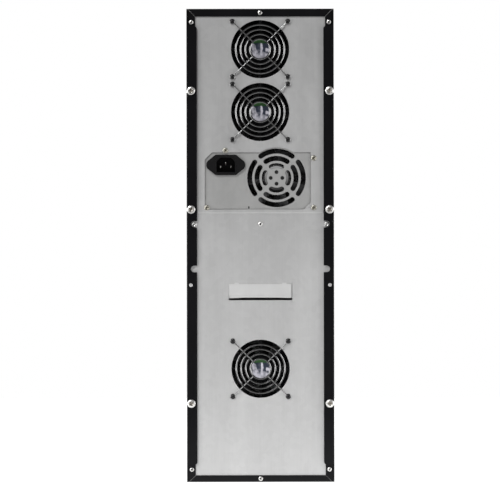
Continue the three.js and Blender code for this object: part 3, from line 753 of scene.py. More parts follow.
print("screws")
# each kind's second paint fills its cross recess, darker than the head as painted shade, except on the black
# fan screws
screwKinds = {
    "cover": {"radius": 5.5, "rise": 2.4, "recess": 2.9, "finish": ("zinc", "tan")},
    "frame": {"radius": 2.9, "rise": 1.5, "recess": 1.3, "finish": ("zinc", "recess")},
    "panel": {"radius": 3.7, "rise": 1.5, "recess": 1.3, "finish": ("steel", "recess")},
    "fan": {"radius": 2.5, "rise": 1.5, "recess": 1.2, "finish": ("blackScrew", "blackScrew")},
    "supply": {"radius": 3.6, "rise": 1.3, "recess": 1.5, "finish": ("brass", "brassSlotShade")},
}
domeShares = ((1, 0), (1, 0.22), (0.95, 0.5), (0.84, 0.76), (0.68, 0.93), (0.52, 1.0), (0.3, 0.72))
wingShare = 0.28  # half the width of a recess's wings
screwTurns = (0.2, 0.9, 1.3, 0.5, 1.1, 0.0, 0.7)
screwLines = {
    "coverX": 89.3 * mm,
    "coverZ": (101.1 * mm, 351.3 * mm, 504.3 * mm),
    "frameX": 88.8 * mm,
    "frameZ": (16 * mm, caseHigh - 17.2 * mm),
    "middleZ": (caseHigh - 5.3 * mm, 4.2 * mm),
    "seamDrop": 14.4 * mm,
    "panelX": 85.6 * mm,
    "panelDrop": 15 * mm,
    "guardRise": 1.3 * mm,  # the guards' eyes lie under these heads
}
screwPlaces = {  # kind, seat and places as (x, z)
    "cover_screws": ("cover", flangeY, [
        (side * screwLines["coverX"], z) for side in (-1, 1) for z in screwLines["coverZ"]]),
    "frame_screws": ("frame", ringY, [
        *((side * screwLines["frameX"], z) for side in (-1, 1) for z in screwLines["frameZ"]),
        *((0, z) for z in screwLines["middleZ"])]),
    "seam_screw": ("frame", panelY, [(0, seamZ - screwLines["seamDrop"])]),
    "panel_screws": ("panel", panelY, [
        (side * screwLines["panelX"], seamZ - screwLines["panelDrop"]) for side in (-1, 1)]),
    "supply_screws": ("supply", panelY, [
        (x * mm, supplyLow.z + z * mm) for x, z in upperPanel["supplyScrews"]]),
    **{name + "_screws": ("fan", panelY + screwLines["guardRise"], [
        (fans[name][0] + across, fans[name][1] + up) for across, up in fanCorners()])
       for name in ("top_fan", "middle_fan", "bottom_fan")},
}
rivetShape = {
    "place": (89.6 * mm, seamZ - 93 * mm),
    "rings": ((2.3, 0), (2.3, 0.3), (1.9, 0.7), (1.0, 0.9)),  # radius and rise in mm
}


def screwHead(kind):  # a domed head with a dished cross recess, at the origin, facing +Y
    size = screwKinds[kind]
    radius, rise, reach = size["radius"] * mm, size["rise"] * mm, size["recess"] * mm
    head = turned("screw_" + kind, (0, 0), [(share * radius, up * rise) for share, up in domeShares], 32)
    wing, y0, y1 = reach * wingShare, rise * 0.3, rise * 1.4
    return carve(head, bar("cut", (0, 0), (reach, wing), y0, y1), bar("cut", (0, 0), (wing, reach), y0, y1))


def placeScrews(name, kind, seat, spots):
    size = screwKinds[kind]
    head = screwHead(kind)
    centres = [Vector((x, seat, z)) for x, z in spots]
    copies = [shift(spin(twin(head, "head"), screwTurns[index % len(screwTurns)]), spot)
              for index, spot in enumerate(centres)]
    discard(head)
    group = join(*copies, name=name)
    first, second = size["finish"]
    dress(group, "fan_black" if kind == "fan" else "bright_wire", paints[first], paints[second])
    reach, rise = size["recess"] * mm * 1.05, size["rise"] * mm * 0.9

    def inRecess(place, way):
        off = place - min(centres, key=lambda spot: (spot - place).length)
        return math.hypot(off.x, off.z) < reach and off.y < rise

    # the recess takes the darker second paint: painted shade
    paintFaces(group, 1, inRecess)


def makeRivets():
    x, z = rivetShape["place"]
    rings = [(radius * mm, flangeY + rise * mm) for radius, rise in rivetShape["rings"]]
    rivets = [turned("rivet", (side * x, z), rings, 24) for side in (-1, 1)]
    dress(join(*rivets, name="side_rivets"), "bright_wire", paints["panel"])


for name, (kind, seat, spots) in screwPlaces.items():
    placeScrews(name, kind, seat, spots)
makeRivets()


# Fans: housing, rotor, label and guard

print("fans")


def makeHousing():  # outer face at y = 0
    size = fanSizes
    half, depth, flange = size["half"], size["depth"], size["flange"]
    body = roundEdges(bar("housing", (0, 0), (half, half), -depth, 0), size["corner"], 6, alongY)
    waist = bar("cut", (0, 0), (half * 2, half * 2), -depth + flange, -flange)
    carve(waist, rod("cut", (0, 0), size["bore"] + size["ductWall"], -depth, 0, 96))
    carve(body, waist, rod("cut", (0, 0), size["bore"], -depth - over, over, 96))
    for spot in fanCorners():
        carve(body, rod("cut", spot, size["screwHole"], -flange - over, over, 20))
    soften(body, size["edge"])
    reach, wide, (y0, y1) = size["bore"] + size["ductWall"] / 2, size["strut"] / 2, size["strutY"]
    struts = [block("strut", (size["hub"] - over, y0, -wide), (reach, y1, wide)) for turn in range(4)]
    for turn, strut in enumerate(struts):
        soften(spin(strut, turn * quarter), size["strutEdge"])
    hub = turned("hub", (0, 0), [(radius * mm, y * mm) for radius, y in size["hubRings"]], 64)
    bore, y0, y1 = size["bearingBore"]
    carve(hub, rod("cut", (0, 0), bore, y0, y1, 32))  # the rotor's shaft runs in it
    return join(body, *struts, hub)


rotorShape = {
    "front": -23 * mm,
    "rear": -3.3 * mm,
    "wall": 1.5 * mm,
    "start": 1.5 * mm,  # radius from which its front is drawn out
    "round": 1 * mm,
    "edge": 0.3 * mm,
    "shaft": (2 * mm, -3.6 * mm),  # radius and end
    "blades": 7,
    "pitch": 34.0,  # degrees at the blade's root
    "twist": 16,  # degrees more at its tip
    "tipShares": (0.12, 0.3),  # how much its tip grows along Y and Z
    "root": 16.4 * mm,
    "tip": 37.2 * mm,
    "chord": 17 * mm,
    "bladeY": -12.8 * mm,
    "thick": 1.3 * mm,
}


def makeBlade():  # a strip that is twisted towards its tip and thickened
    size = rotorShape
    root, tip, middle = size["root"], size["tip"], size["bladeY"]
    blade = primitive(bpy.ops.mesh.primitive_plane_add, "blade", (tip - root, size["chord"], 1), size=1,
                      location=((tip + root) / 2, middle, 0))
    edit(blade)
    bpy.ops.mesh.subdivide(number_cuts=5)
    bpy.ops.transform.rotate(value=math.radians(size["pitch"]), orient_axis="X",
                             center_override=(0, middle, 0))
    leave()
    growY, growZ = size["tipShares"]
    columns = sorted({round(point.co.x, 6) for point in blade.data.vertices})
    for step, column in enumerate(columns):
        edit(blade, "VERT", lambda place, way: abs(place.x - column) < near / 10)
        share = step / (len(columns) - 1)
        bpy.ops.transform.rotate(value=math.radians(share * size["twist"]), orient_axis="X",
                                 center_override=(column, middle, 0))
        bpy.ops.transform.resize(value=(1, 1 + growY * share, 1 + growZ * share),
                                 center_override=(column, middle, 0))
        leave()
    modify(blade, "SOLIDIFY", thickness=size["thick"], offset=0)
    carve(blade, rod("ring", (0, 0), tip, size["front"], size["rear"], 96), how="INTERSECT")
    return soften(blade, size["edge"])


def makeRotor():
    size = rotorShape
    front, rear, wall, radius = size["front"], size["rear"], size["wall"], fanSizes["hub"]
    shaft, shaftEnd = size["shaft"]
    cup = turned("cup", (0, 0), [
        (size["start"], front), (radius - size["round"], front), (radius, front + size["round"]),
        (radius, rear), (radius - wall, rear), (radius - wall, front + wall), (shaft, front + wall),
        (shaft, shaftEnd)], 64)
    blade = makeBlade()
    others = [spin(twin(blade, "blade"), index * 2 * math.pi / size["blades"])
              for index in range(1, size["blades"])]
    return join(cup, blade, *others)


guardShape = {
    "wire": 1.0 * mm,
    "rings": (13 * mm, 19.13 * mm, 25.26 * mm, 31.39 * mm),
    "ringShares": (1.08, 1.1),  # radius and height, in wires
    "start": (12 * mm, 0.9),  # where a leg starts: its distance, and its height in wires
    "route": ((33 * mm, 0.9), (37 * mm, 1.5), (39.5 * mm, 2.0), (42 * mm, 1.6), (44.5 * mm, 0.9)),
    "legShare": 0.85,
    "eye": 2.8 * mm,
    "eyeShares": (0.75, 0.8),
    "eyeGap": 3.4 * mm,  # from the leg's end to the screw
}


def wireRing(name, x, radius, shares, around):
    thick, high = shares
    return primitive(bpy.ops.mesh.primitive_torus_add, name, major_radius=radius, major_segments=around,
                     minor_radius=guardShape["wire"] * thick, minor_segments=10,
                     location=(x, guardShape["wire"] * high, 0), rotation=(quarter, 0, 0))


def makeLeg(reach):  # runs out over the rings and dips to the panel, where its eye is
    size = guardShape
    wire, (x, share) = size["wire"], size["start"]
    leg = primitive(bpy.ops.mesh.primitive_circle_add, "leg", vertices=10, radius=wire * size["legShare"],
                    fill_type="NGON", location=(x, wire * share, 0), rotation=(0, quarter, 0))
    edit(leg)
    for nextX, nextShare in (*size["route"], (reach - size["eyeGap"], size["legShare"])):
        extrude(nextX - x, wire * (nextShare - share), 0)
        x, share = nextX, nextShare
    return close(leg)


def makeGuard():  # inner side at y = 0, as the CAD guard
    size = guardShape
    rings = [wireRing("ring", 0, radius, size["ringShares"], 72) for radius in size["rings"]]
    reach = math.hypot(*fanCorners()[0])
    legs = []
    for eighth in (1, 3, 5, 7):
        legs.append(spin(makeLeg(reach), eighth * quarter / 2))
        # the eyes take the rings' darker paint, as painted shade that keeps glints off them
        rings.append(spin(wireRing("eye", reach, size["eye"], size["eyeShares"], 32), eighth * quarter / 2))
    grids = join(*rings), join(*legs)
    # rings and eyes take the darker paint and legs the lighter one: painted shade and painted light
    for index, grid in enumerate(grids):
        for material in (paints["wire"], paints["leg"]):
            grid.data.materials.append(material)
        paintFaces(grid, index, lambda place, way: True)
    return join(*grids)


def makeLabel(radius):  # a thin round sticker with a domed rim
    size = fanSizes
    label = primitive(bpy.ops.mesh.primitive_circle_add, "label", vertices=48, radius=radius,
                      fill_type="NGON", location=(0, size["labelSeat"], 0), rotation=(quarter, 0, 0),
                      calc_uvs=True)
    edit(label)
    extrude(0, size["labelRise"], 0)
    rim, dome = size["labelRim"]
    bpy.ops.mesh.inset(thickness=rim, depth=dome)
    close(label)
    mapFlat(label, (radius, -radius), (-2 * radius, 2 * radius))
    return label


housing, rotor, guard = makeHousing(), makeRotor(), makeGuard()
label, supplyLabel = makeLabel(fanSizes["label"]), makeLabel(fanSizes["supplyLabel"])
for name, (x, z) in fans.items():
    place = (x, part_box(name + "_housing")[1].y, z)
    dress(twin(housing, name + "_housing_look", place), "fan_black", paints["fan"])
    if name == "supply_fan":
        dress(twin(rotor, name + "_rotor_look", place), "fan_black", paints["greyHub"])
        # the supply fan's plate carries painted light and painted shade
        dress(twin(supplyLabel, name + "_label", place), "fan_black", paints["plate"])
    else:
        dress(twin(rotor, name + "_rotor_look", place), "fan_black", paints["blade"])
        dress(twin(label, name + "_label", place), "fan_black", paints["label"])
        grid = twin(guard, name + "_guard_look", (x, panelY + fanSizes["guardSeat"], z))
        dress(grid, "bright_wire", paints["wire"], paints["leg"])
discard(housing, rotor, guard, label, supplyLabel)


# Power supply

print("power supply")
supplyShape = {
    "sheet": 1 * mm,
    "fold": 0.9 * mm,
    "edge": 0.15 * mm,
    "slotWidth": 6.4 * mm,
    "slots": ((37.8, 36), (28.4, 33), (19, 25)),  # outer radius in mm, half angle in degrees
    "slotEndShare": 0.499,
    "hole": 2.5 * mm,
    "holeReach": 7.5 * mm,
    "socketRoom": (13.8 * mm, 11.3 * mm),
    "seam": 17.4 * mm,  # a faint joint of the two shells
    "seamWidth": 0.3 * mm,
    "seamDeep": 0.3 * mm,
    "seamTop": -12 * mm,  # from the grille's middle
    "groove": (0.7 * mm, 0.65 * mm),
    "notch": ((-3.4 * mm, 5 * mm), (-1.9 * mm, 8 * mm)),  # from the seam and the supply's foot
    "vents": 15,
    "ventPitch": 7.6 * mm,
    "ventHalf": (2.2 * mm, 29 * mm),
}


def makeArcSlot(outer, halfDegrees, y0, y1):  # swept about the Y axis, with round ends
    wide = supplyShape["slotWidth"]
    middle, half = outer - wide / 2, math.radians(halfDegrees)
    slot = primitive(bpy.ops.mesh.primitive_plane_add, "cut", (wide, y1 - y0, 1), size=1,
                     location=(middle, (y0 + y1) / 2, 0))
    edit(spin(slot, half))
    bpy.ops.mesh.spin(steps=20, angle=2 * half, center=(0, 0, 0), axis=(0, 1, 0))
    close(slot)
    radius = wide * supplyShape["slotEndShare"]
    for side in (-1, 1):
        end = (middle * math.cos(half), side * middle * math.sin(half))
        carve(slot, rod("cut", end, radius, y0 - over, y1 + over, 28), how="UNION")
    return slot


def makeSupply():
    size = supplyShape
    x, z = grille
    case = soften(block("supply_case_look", supplyLow, supplyHigh), size["fold"], 3)
    wall = Vector((size["sheet"],) * 3)
    carve(case, block("cut", supplyLow + wall, supplyHigh - wall))
    y0, y1 = supplyY - 3 * over, supplyY + 2 * over
    cutters = []
    for outer, halfDegrees in size["slots"]:
        slot = makeArcSlot(outer * mm, halfDegrees, y0, y1)
        cutters += [shift(spin(twin(slot, "cut"), turn * quarter), (x, 0, z)) for turn in range(4)]
        discard(slot)
    for turn in range(4):
        across, up = (size["holeReach"] * wave(turn * quarter) for wave in (math.cos, math.sin))
        cutters.append(rod("cut", (x + across, z + up), size["hole"], y0, y1, 24))
    cutters.append(bar("cut", spotOf("mains_inlet"), size["socketRoom"], y0, y1))
    seam, half = size["seam"], size["seamWidth"] / 2
    cutters.append(block("cut", (seam - half, supplyY - size["seamDeep"], supplyLow.z - over),
                         (seam + half, y1, z + size["seamTop"])))
    for index in range(size["vents"]):
        spot = ((index - (size["vents"] - 1) / 2) * size["ventPitch"], (supplyLow.z + supplyHigh.z) / 2)
        cutters.append(bar("cut", spot, size["ventHalf"], supplyLow.y - 2 * over, supplyLow.y + 3 * over))
    carve(case, join(*cutters))
    # a fine groove just inside the window, and a small notch at its foot
    deep, wide = size["groove"]
    line = carve(windowBlock(near, supplyY - deep, y1), windowBlock(near + wide, y0, y1 + over),
                 rod("cut", grille, upperPanel["bulge"], y0, y1 + 2 * over, 96))
    (x0, z0), (x1, z1) = size["notch"]
    notch = block("cut", (seam + x0, y0, supplyLow.z + z0), (seam + x1, y1, supplyLow.z + z1))
    carve(case, line, notch)
    dress(soften(case, size["edge"], 1, 60), "satin_steel", paints["supply"])


makeSupply()


# Mains inlet

inletShape = {
    "flange": 2 * mm,
    "flat": 26.2 * mm,
    "tipTall": 7.2 * mm,
    "tip": 2.4 * mm,
    "corner": 0.9 * mm,
    "edge": 0.35 * mm,
    "socketHalf": (12 * mm, 9.5 * mm),
    "socketWall": 1.5 * mm,
    "socketFloor": 14 * mm,  # below the flange's back
    "cutCorner": 5 * mm,
    "rim": 1.1 * mm,
    "rimProud": 0.5 * mm,
    "pinSpread": 7 * mm,
    "earthRise": 4 * mm,
    "pin": (2 * mm, 11 * mm, 4 * mm),
    "pinTip": 2 * mm,
    "pinShares": (0.4, 1, 0.55),
}


def socketShape(name, grow, y0, y1, spot):
    hollow = bar(name, spot, [side + grow for side in inletShape["socketHalf"]], y0, y1)
    roundEdges(hollow, inletShape["cutCorner"], 1,
               lambda place, way: alongY(place, way) and place.z > spot[1])
    return roundEdges(hollow, inletShape["corner"], 3, alongY)


def makeInlet():
    size = inletShape
    low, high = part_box("mains_inlet")
    spot = x, z = spotOf("mains_inlet")
    backY, tip = high.y - size["flange"], size["tipTall"] / 2
    # a plate with cut corners, whose blunt tips are then drawn out
    cut = (high.z - low.z) / 2 - tip
    half = size["flat"] / 2 + cut
    flange = bar("mains_inlet_look", spot, (half, (high.z - low.z) / 2), backY, high.y)
    roundEdges(flange, cut, 1, alongY)
    edit(flange, "VERT", lambda place, way: abs(place.z - z) < tip + near)
    bpy.ops.transform.resize(value=((high.x - low.x) / 2 / half, 1, 1), center_override=centre("mains_inlet"))
    close(flange)
    roundEdges(flange, size["tip"], 4,
               lambda place, way: alongY(place, way) and abs(place.z - z) < tip + near)
    roundEdges(flange, size["corner"], 3,
               lambda place, way: alongY(place, way) and abs(place.z - z) > cut)
    body = bar("body", spot, [side + size["socketWall"] for side in size["socketHalf"]], low.y, backY + over)
    carve(flange, body, socketShape("rim", size["rim"], backY, high.y + size["rimProud"], spot), how="UNION")
    carve(flange, socketShape("cut", 0, backY - size["socketFloor"], high.y + 2 * over, spot))
    dress(soften(flange, size["edge"], 3), "inlet_black", paints["inlet"])
    wide, long, tall = size["pin"]
    y0 = backY - size["socketFloor"] - over
    pins = []
    for side, rise in ((-1, -0.5), (0, 0.5), (1, -0.5)):
        place = (x + side * size["pinSpread"], z + rise * size["earthRise"])
        pin = bar("pin", place, (wide / 2, tall / 2), y0, y0 + long)
        edit(pin, test=lambda place, way: way.y > 0.9)  # its tip tapers
        extrude(0, size["pinTip"], 0)
        bpy.ops.transform.resize(value=size["pinShares"], center_override=(place[0], 0, place[1]))
        pins.append(soften(close(pin), fineEdge, 3))
    dress(join(*pins, name="inlet_pins"), "bright_wire", paints["pin"])


makeInlet()


# Front bezel and power button

print("front")
bezelShape = {
    "corner": 8 * mm,
    "edge": 1.4 * mm,
    "fineEdge": 0.35 * mm,
    "wall": 3 * mm,
    "ventHalf": 55 * mm,
    "ventHeight": 4 * mm,
    "ventPitch": 8 * mm,
    "ventBase": 18 * mm,
    "vents": 5,
    "ventRoundShare": 0.48,
    "wellGap": 0.3 * mm,
    "guideWall": 1.5 * mm,
    "wellEnd": 1.5 * mm,
    "dish": (2.2 * mm, 0.8 * mm, 0.9 * mm),  # beyond the well in front and behind, and its depth
    "groove": 1 * mm,
    "grooveOut": 4 * mm,
    "grooveDeep": 0.7 * mm,
}
roundKeys = {  # rims as (inset, depth) in mm, dishes as (share of the radius, depth in mm)
    "power_button": (((0, 0.7), (0.25, 0.25), (0.8, 0), (1.5, 0), (1.7, 0.3), (2.1, 0.3), (2.3, 0.05)),
                     ((0.4, 0.3), (0.12, 0.38)), 64),
    "key": (((0, 0.8), (0.2, 0.35), (0.6, 0.05), (1, 0), (1.6, 0.15)), ((0.2, 0.35),), 48),
}
bays = 12
bayPitch = 42 * mm
firstBay, lastBay = centre("drive_01_body").z, centre("controller_unit").z
bayLow, bayHigh = firstBay - bayPitch / 2, lastBay + bayPitch / 2
bayMiddle, bayTall = (bayLow + bayHigh) / 2, (bayHigh - bayLow) / 2
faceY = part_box("drive_01_body")[0].y
bayHalf = 74.3 * mm


def makeBezel():
    size = bezelShape
    low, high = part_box("front_bezel")
    y0, y1, wall = low.y - over, high.y + over, size["wall"]
    bezel = block("front_bezel_look", low, high)
    roundEdges(bezel, size["corner"], 10, lambda place, way: alongZ(place, way) and place.y < low.y + near)
    roundEdges(bezel, size["edge"], 4, lambda place, way: abs(way.z) < 0.1 and place.y < high.y - near)
    carve(bezel, block("cut", (low.x + wall, low.y + wall, low.z + wall), (high.x - wall, y1, high.z - wall)))
    spot = spotOf("power_button")
    buttonLow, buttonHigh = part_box("power_button")
    well = (buttonHigh.x - buttonLow.x) / 2 + size["wellGap"]
    carve(bezel, rod("guide", spot, well + size["guideWall"], low.y + wall / 2, high.y, 48), how="UNION")
    # a round dish in front of the button, then its well
    front, back, deep = size["dish"]
    dish = turned("cut", spot, [(well + front, y0), (well + front, low.y), (well + back, low.y + deep)], 64)
    carve(bezel, dish, rod("cut", spot, well, y0, high.y - size["wellEnd"], 64))
    carve(bezel, bar("cut", (0, bayMiddle), (bayHalf, bayTall), y0, y1))
    for index in range(size["vents"]):
        z, half = size["ventBase"] + index * size["ventPitch"], size["ventHeight"] / 2
        vent = bar("cut", (0, z + half), (size["ventHalf"], half), y0, y1)
        carve(bezel, roundEdges(vent, size["ventHeight"] * size["ventRoundShare"], 5, alongY))
    # a fine groove frames the bays
    out, reach = size["grooveOut"], size["grooveOut"] - size["groove"]
    groove = bar("cut", (0, bayMiddle), (bayHalf + out, bayTall + out), y0, low.y + size["grooveDeep"])
    carve(groove, bar("cut", (0, bayMiddle), (bayHalf + reach, bayTall + reach), low.y - 2 * over, high.y))
    carve(bezel, groove)
    dress(soften(bezel, size["fineEdge"], 2, 40), "black_moulding", paints["bezel"], angle=30)


def makeRoundKey(node, kind):
    rim, dish, sides = roundKeys[kind]
    low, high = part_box(node)
    radius = (high.x - low.x) / 2
    rings = [(radius, high.y), *((radius - inset * mm, low.y + deep * mm) for inset, deep in rim),
             *((radius * share, low.y + deep * mm) for share, deep in dish)]
    dress(turned(node + "_look", spotOf(node), rings, sides), "button_black", paints["key"], angle=40)


makeBezel()
makeRoundKey("power_button", "power_button")


# Disc drives: modelled once in the bay's own place, then copied bay by bay

driveShape = {
    "faceHalf": (74 * mm, 20.7 * mm),
    "faceEdge": 0.9 * mm,
    "canHalf": (73 * mm, 20.5 * mm),
    "canEdge": 0.8 * mm,
    "bareFrom": (5.2 * mm, 72 * mm, 20 * mm),  # where the bare can starts, and how far out its sides are
    "face": 5 * mm,
    "can": 165 * mm,
    "canBack": 160 * mm,
    "mouthHalf": 67 * mm,
    "mouth": (-0.8 * mm, 12.8 * mm),
    "mouthDeep": 157.2 * mm,
    "eject": (56 * mm, -14 * mm),
    "ejectHalf": (5.5 * mm, 2.3 * mm),
    "ejectDeep": 7.2 * mm,
    "ejectRound": 1 * mm,
    "buttonY": (-1 * mm, 5 * mm),
    "buttonRound": 0.9 * mm,
    "buttonEdge": 0.4 * mm,
    "lamp": (40 * mm, -14 * mm),
    "lampHalf": (1.9 * mm, 0.9 * mm),
    "lampY": (0.15 * mm, 0.8 * mm),
    "lampEdge": 0.3 * mm,
    "pinhole": (30 * mm, -14 * mm),
    "pinholeSize": (0.8 * mm, 4 * mm),
    "step": (3.4 * mm, 2.8 * mm, 0.35 * mm),  # its edges below the mouth, and its depth
    "trayHalf": 64 * mm,
    "trayThick": 6 * mm,
    "trayCorner": 6 * mm,
    "lip": 3.2 * mm,
    "lipEdge": 0.7 * mm,
    "lipLine": (2.2 * mm, 2.7 * mm, 0.3 * mm),  # its edges above the tray's foot, and its depth
    "trayEnd": 153.2 * mm,
    "discY": 67.4 * mm,
    "disc": (60.2 * mm, 3 * mm),
    "smallDisc": (40.5 * mm, 4 * mm),
    "dip": (11 * mm, 3 * mm),
    "slotHalf": 19 * mm,
    "slotRoundShare": 0.98,
    "slotLong": 82 * mm,
    "gap": 0.3 * mm,
}


def makeUnit(name, y, z, long):  # a face plate with a sheet can behind it
    size = driveShape
    back = y + size["face"]
    face = soften(bar(name, (0, z), size["faceHalf"], y, back), size["faceEdge"], 3)
    can = bar("can", (0, z), size["canHalf"], y + size["face"] / 2, back + long)
    return carve(face, soften(can, size["canEdge"]), how="UNION")


def paintCan(unit, z, end):  # all behind the face plate is bare sheet
    start, across, up = driveShape["bareFrom"]
    paintFaces(unit, 1, lambda spot, way: spot.y > faceY + start
               and (abs(spot.x) > across or abs(spot.z - z) > up or spot.y > faceY + end))


def makeDrive():
    size = driveShape
    gap, (low, high) = size["gap"], size["mouth"]
    unit = makeUnit("drive", 0, 0, size["can"])
    mouth = block("cut", (-size["mouthHalf"], -over, low), (size["mouthHalf"], size["mouthDeep"], high))
    pocket = bar("cut", size["eject"], [side + gap for side in size["ejectHalf"]], -over, size["ejectDeep"])
    roundEdges(pocket, size["ejectRound"], 4, alongY)
    front, back = size["lampY"]
    seat = bar("cut", size["lamp"], [side + near for side in size["lampHalf"]], -over, back)
    radius, deep = size["pinholeSize"]
    pinhole = rod("cut", size["pinhole"], radius, -over, deep, 20)
    # a shallow step runs along below the tray
    foot, top, deep = size["step"]
    step = block("cut", (-bayHalf - over, -over, low - foot), (bayHalf + over, deep, low - top))
    carve(unit, mouth, pocket, seat, pinhole, step)
    soften(unit, fineEdge, 2, 50)
    return join(unit, soften(bar("lamp", size["lamp"], size["lampHalf"], front, back), size["lampEdge"], 2))


def makeTray():
    size = driveShape
    low, high = (side + gap for side, gap in zip(size["mouth"], (size["gap"], -size["gap"])))
    reach, deck, discY = size["mouthHalf"] - size["gap"], low + size["trayThick"], size["discY"]
    tray = soften(block("tray", (-reach, 0, low), (reach, size["lip"], high)), size["lipEdge"], 3)
    half = size["trayHalf"]
    floor = block("floor", (-half, size["lip"] / 2, low), (half, size["trayEnd"], deck))
    roundEdges(floor, size["trayCorner"], 6, lambda place, way: alongZ(place, way) and place.y > discY)
    carve(tray, floor, how="UNION")
    for radius, deep in (size["disc"], size["smallDisc"]):
        carve(tray, drum("cut", (0, discY), radius, deck - deep, deck + 3 * over, 128))
    half = size["slotHalf"]
    slot = block("cut", (-half, discY - half, low - over), (half, discY - half + size["slotLong"], high))
    roundEdges(slot, half * size["slotRoundShare"], 12,
               lambda place, way: alongZ(place, way) and place.y < discY)
    # two finger dips at the disc's sides and a thin line along the lip
    radius, deep = size["dip"]
    dips = [drum("cut", (side * size["disc"][0], discY), radius, deck - deep, deck + 3 * over, 48)
            for side in (-1, 1)]
    foot, top, deep = size["lipLine"]
    line = block("cut", (-reach - over, -over, low + foot), (reach + over, deep, low + top))
    carve(tray, slot, *dips, line)
    return soften(tray, fineEdge, 2, 50)


def makeEjectButton():
    size = driveShape
    button = bar("button", size["eject"], size["ejectHalf"], *size["buttonY"])
    return soften(roundEdges(button, size["buttonRound"], 4, alongY), size["buttonEdge"], 3, 50)


def isLamp(spot, z):
    size = driveShape
    off = (spot.x - size["lamp"][0], spot.z - z - size["lamp"][1])
    return (all(abs(gap) < half + near / 5 for gap, half in zip(off, size["lampHalf"]))
            and near < spot.y - faceY < size["lampY"][1] - near / 10)


drive, tray, eject = makeDrive(), makeTray(), makeEjectButton()
for number in range(1, bays):
    name, z = f"drive_{number:02d}", firstBay + (number - 1) * bayPitch
    body = twin(drive, name + "_body_look", (0, faceY, z))
    dress(body, "drive_grey", paints["drive"], paints["cage"], paints["lamp"])
    paintCan(body, z, driveShape["canBack"])
    paintFaces(body, 2, lambda spot, way: isLamp(spot, z))
    dress(twin(tray, name + "_tray_look", (0, faceY, z)), "tray_black", paints["tray"])
    button = twin(eject, name + "_eject_button_look", (0, faceY, z))
    dress(button, "button_black", paints["key"], angle=40)
discard(drive, tray, eject)


# Controller with its display and keys

controllerShape = {
    "can": 96 * mm,
    "canBack": 95 * mm,
    "keys": {"up_button": 20, "down_button": 33, "enter_button": 46, "escape_button": 59},  # mm across
    "keyRadius": 4.2 * mm,
    "keyDish": (1.4 * mm, 0.5 * mm, 0.6 * mm),  # beyond the key in front and behind, and its depth
    "keyDeep": 7.2 * mm,
    "display": (-63 * mm, 3 * mm),
    "displayHalf": 12 * mm,
    "displayDeep": 1.8 * mm,
    "rim": 2.4 * mm,
    "rimProud": 0.8 * mm,
    "rimCorner": 1.6 * mm,
    "rimEdge": 0.5 * mm,
    "displayCorner": 0.8 * mm,
    "lamps": (33, 46),
    "lampRise": 11.5 * mm,
    "lampHole": 1.7 * mm,
    "lampRings": ((1.5, 1), (1.5, 0), (1.2, -0.5), (0.5, -0.8)),  # radius and place along Y, in mm
}


def makeController():
    size = controllerShape
    z, gap, half, rim = lastBay, driveShape["gap"], size["displayHalf"], size["rim"]
    body = makeUnit("controller_unit_look", faceY, z, size["can"])
    left, right = size["display"]
    middle, wide, front = ((left + right) / 2, z), (right - left) / 2, faceY - size["rimProud"]
    border = bar("border", middle, (wide + rim, half + rim), front, faceY + over)
    roundEdges(border, size["rimCorner"], 4, alongY)
    roundEdges(border, size["rimEdge"], 3, lambda place, way: place.y < front + near)
    carve(body, border, how="UNION")
    carve(body, bar("cut", middle, (wide + gap, half + gap), faceY - 3 * over, faceY + size["displayDeep"]))
    radius, (outer, inner, deep) = size["keyRadius"], size["keyDish"]
    for across in size["keys"].values():
        key = (across * mm, z)
        dish = turned("cut", key, [(radius + outer, faceY - over), (radius + outer, faceY),
                                   (radius + inner, faceY + deep)], 48)
        carve(body, dish, rod("cut", key, radius + gap, faceY - over, faceY + size["keyDeep"], 48))
    lampSpots = [(across * mm, z + size["lampRise"]) for across in size["lamps"]]
    for spot in lampSpots:
        carve(body, rod("cut", spot, size["lampHole"], faceY - over, faceY + over, 24))
    dress(soften(body, fineEdge, 2, 50), "drive_grey", paints["drive"], paints["cage"], angle=30)
    paintCan(body, z, size["canBack"])
    rings = [(radius * mm, faceY + y * mm) for radius, y in size["lampRings"]]
    lamps = join(*(turned("lamp", spot, rings, 24) for spot in lampSpots), name="controller_lamps")
    dress(lamps, "drive_grey", paints["lamp"], angle=40)


def makeDisplay():
    low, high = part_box("lcd_window")
    window = roundEdges(block("lcd_window_look", low, high), controllerShape["displayCorner"], 4, alongY)
    soften(window, fineEdge, 2, 50)
    mapFlat(window, (low.x, low.z), (high.x - low.x, high.z - low.z))
    dress(window, "display_blue", paints["display"])


gapShadeShape = {
    "half": 74.1 * mm,
    "thick": 1 * mm,
    "inset": 1 * mm,
    "gap": 0.15 * mm,
}


def makeGapShade():  # a thin black sheet behind the faces closes the gaps between the bays, as painted shade
    size = gapShadeShape
    y0 = faceY + driveShape["face"] + size["gap"]
    gapShade = bar("bay_seals", (0, bayMiddle), (size["half"], bayTall - size["inset"]), y0, y0 + size["thick"])
    room = [side + size["gap"] for side in driveShape["canHalf"]]
    holes = [bar("cut", (0, firstBay + index * bayPitch), room, y0 - over, y0 + 3 * over)
             for index in range(bays)]
    dress(carve(gapShade, join(*holes)), "black_moulding", paints["fan"])


makeController()
makeDisplay()
for name in controllerShape["keys"]:
    makeRoundKey(name, "key")
makeGapShade()


# The drive cage's own shape is right, so it keeps its mesh and gets a better finish
cage = frame["nodes"]["drive_cage"]
cage.data.materials.clear()
cage.data.materials.append(paints["cage"])


# Camera, light and floor

print("camera and light")
view = {
    "distance": 2.6,  # from the rear face
    "pixelsPerMetre": 776,
    "frame": 500,
    "sensor": 36,
    "across": 0.0134,  # the tower stands a little right of the frame's middle
    "height": 0.299,
    "lean": -0.1,  # degrees
}


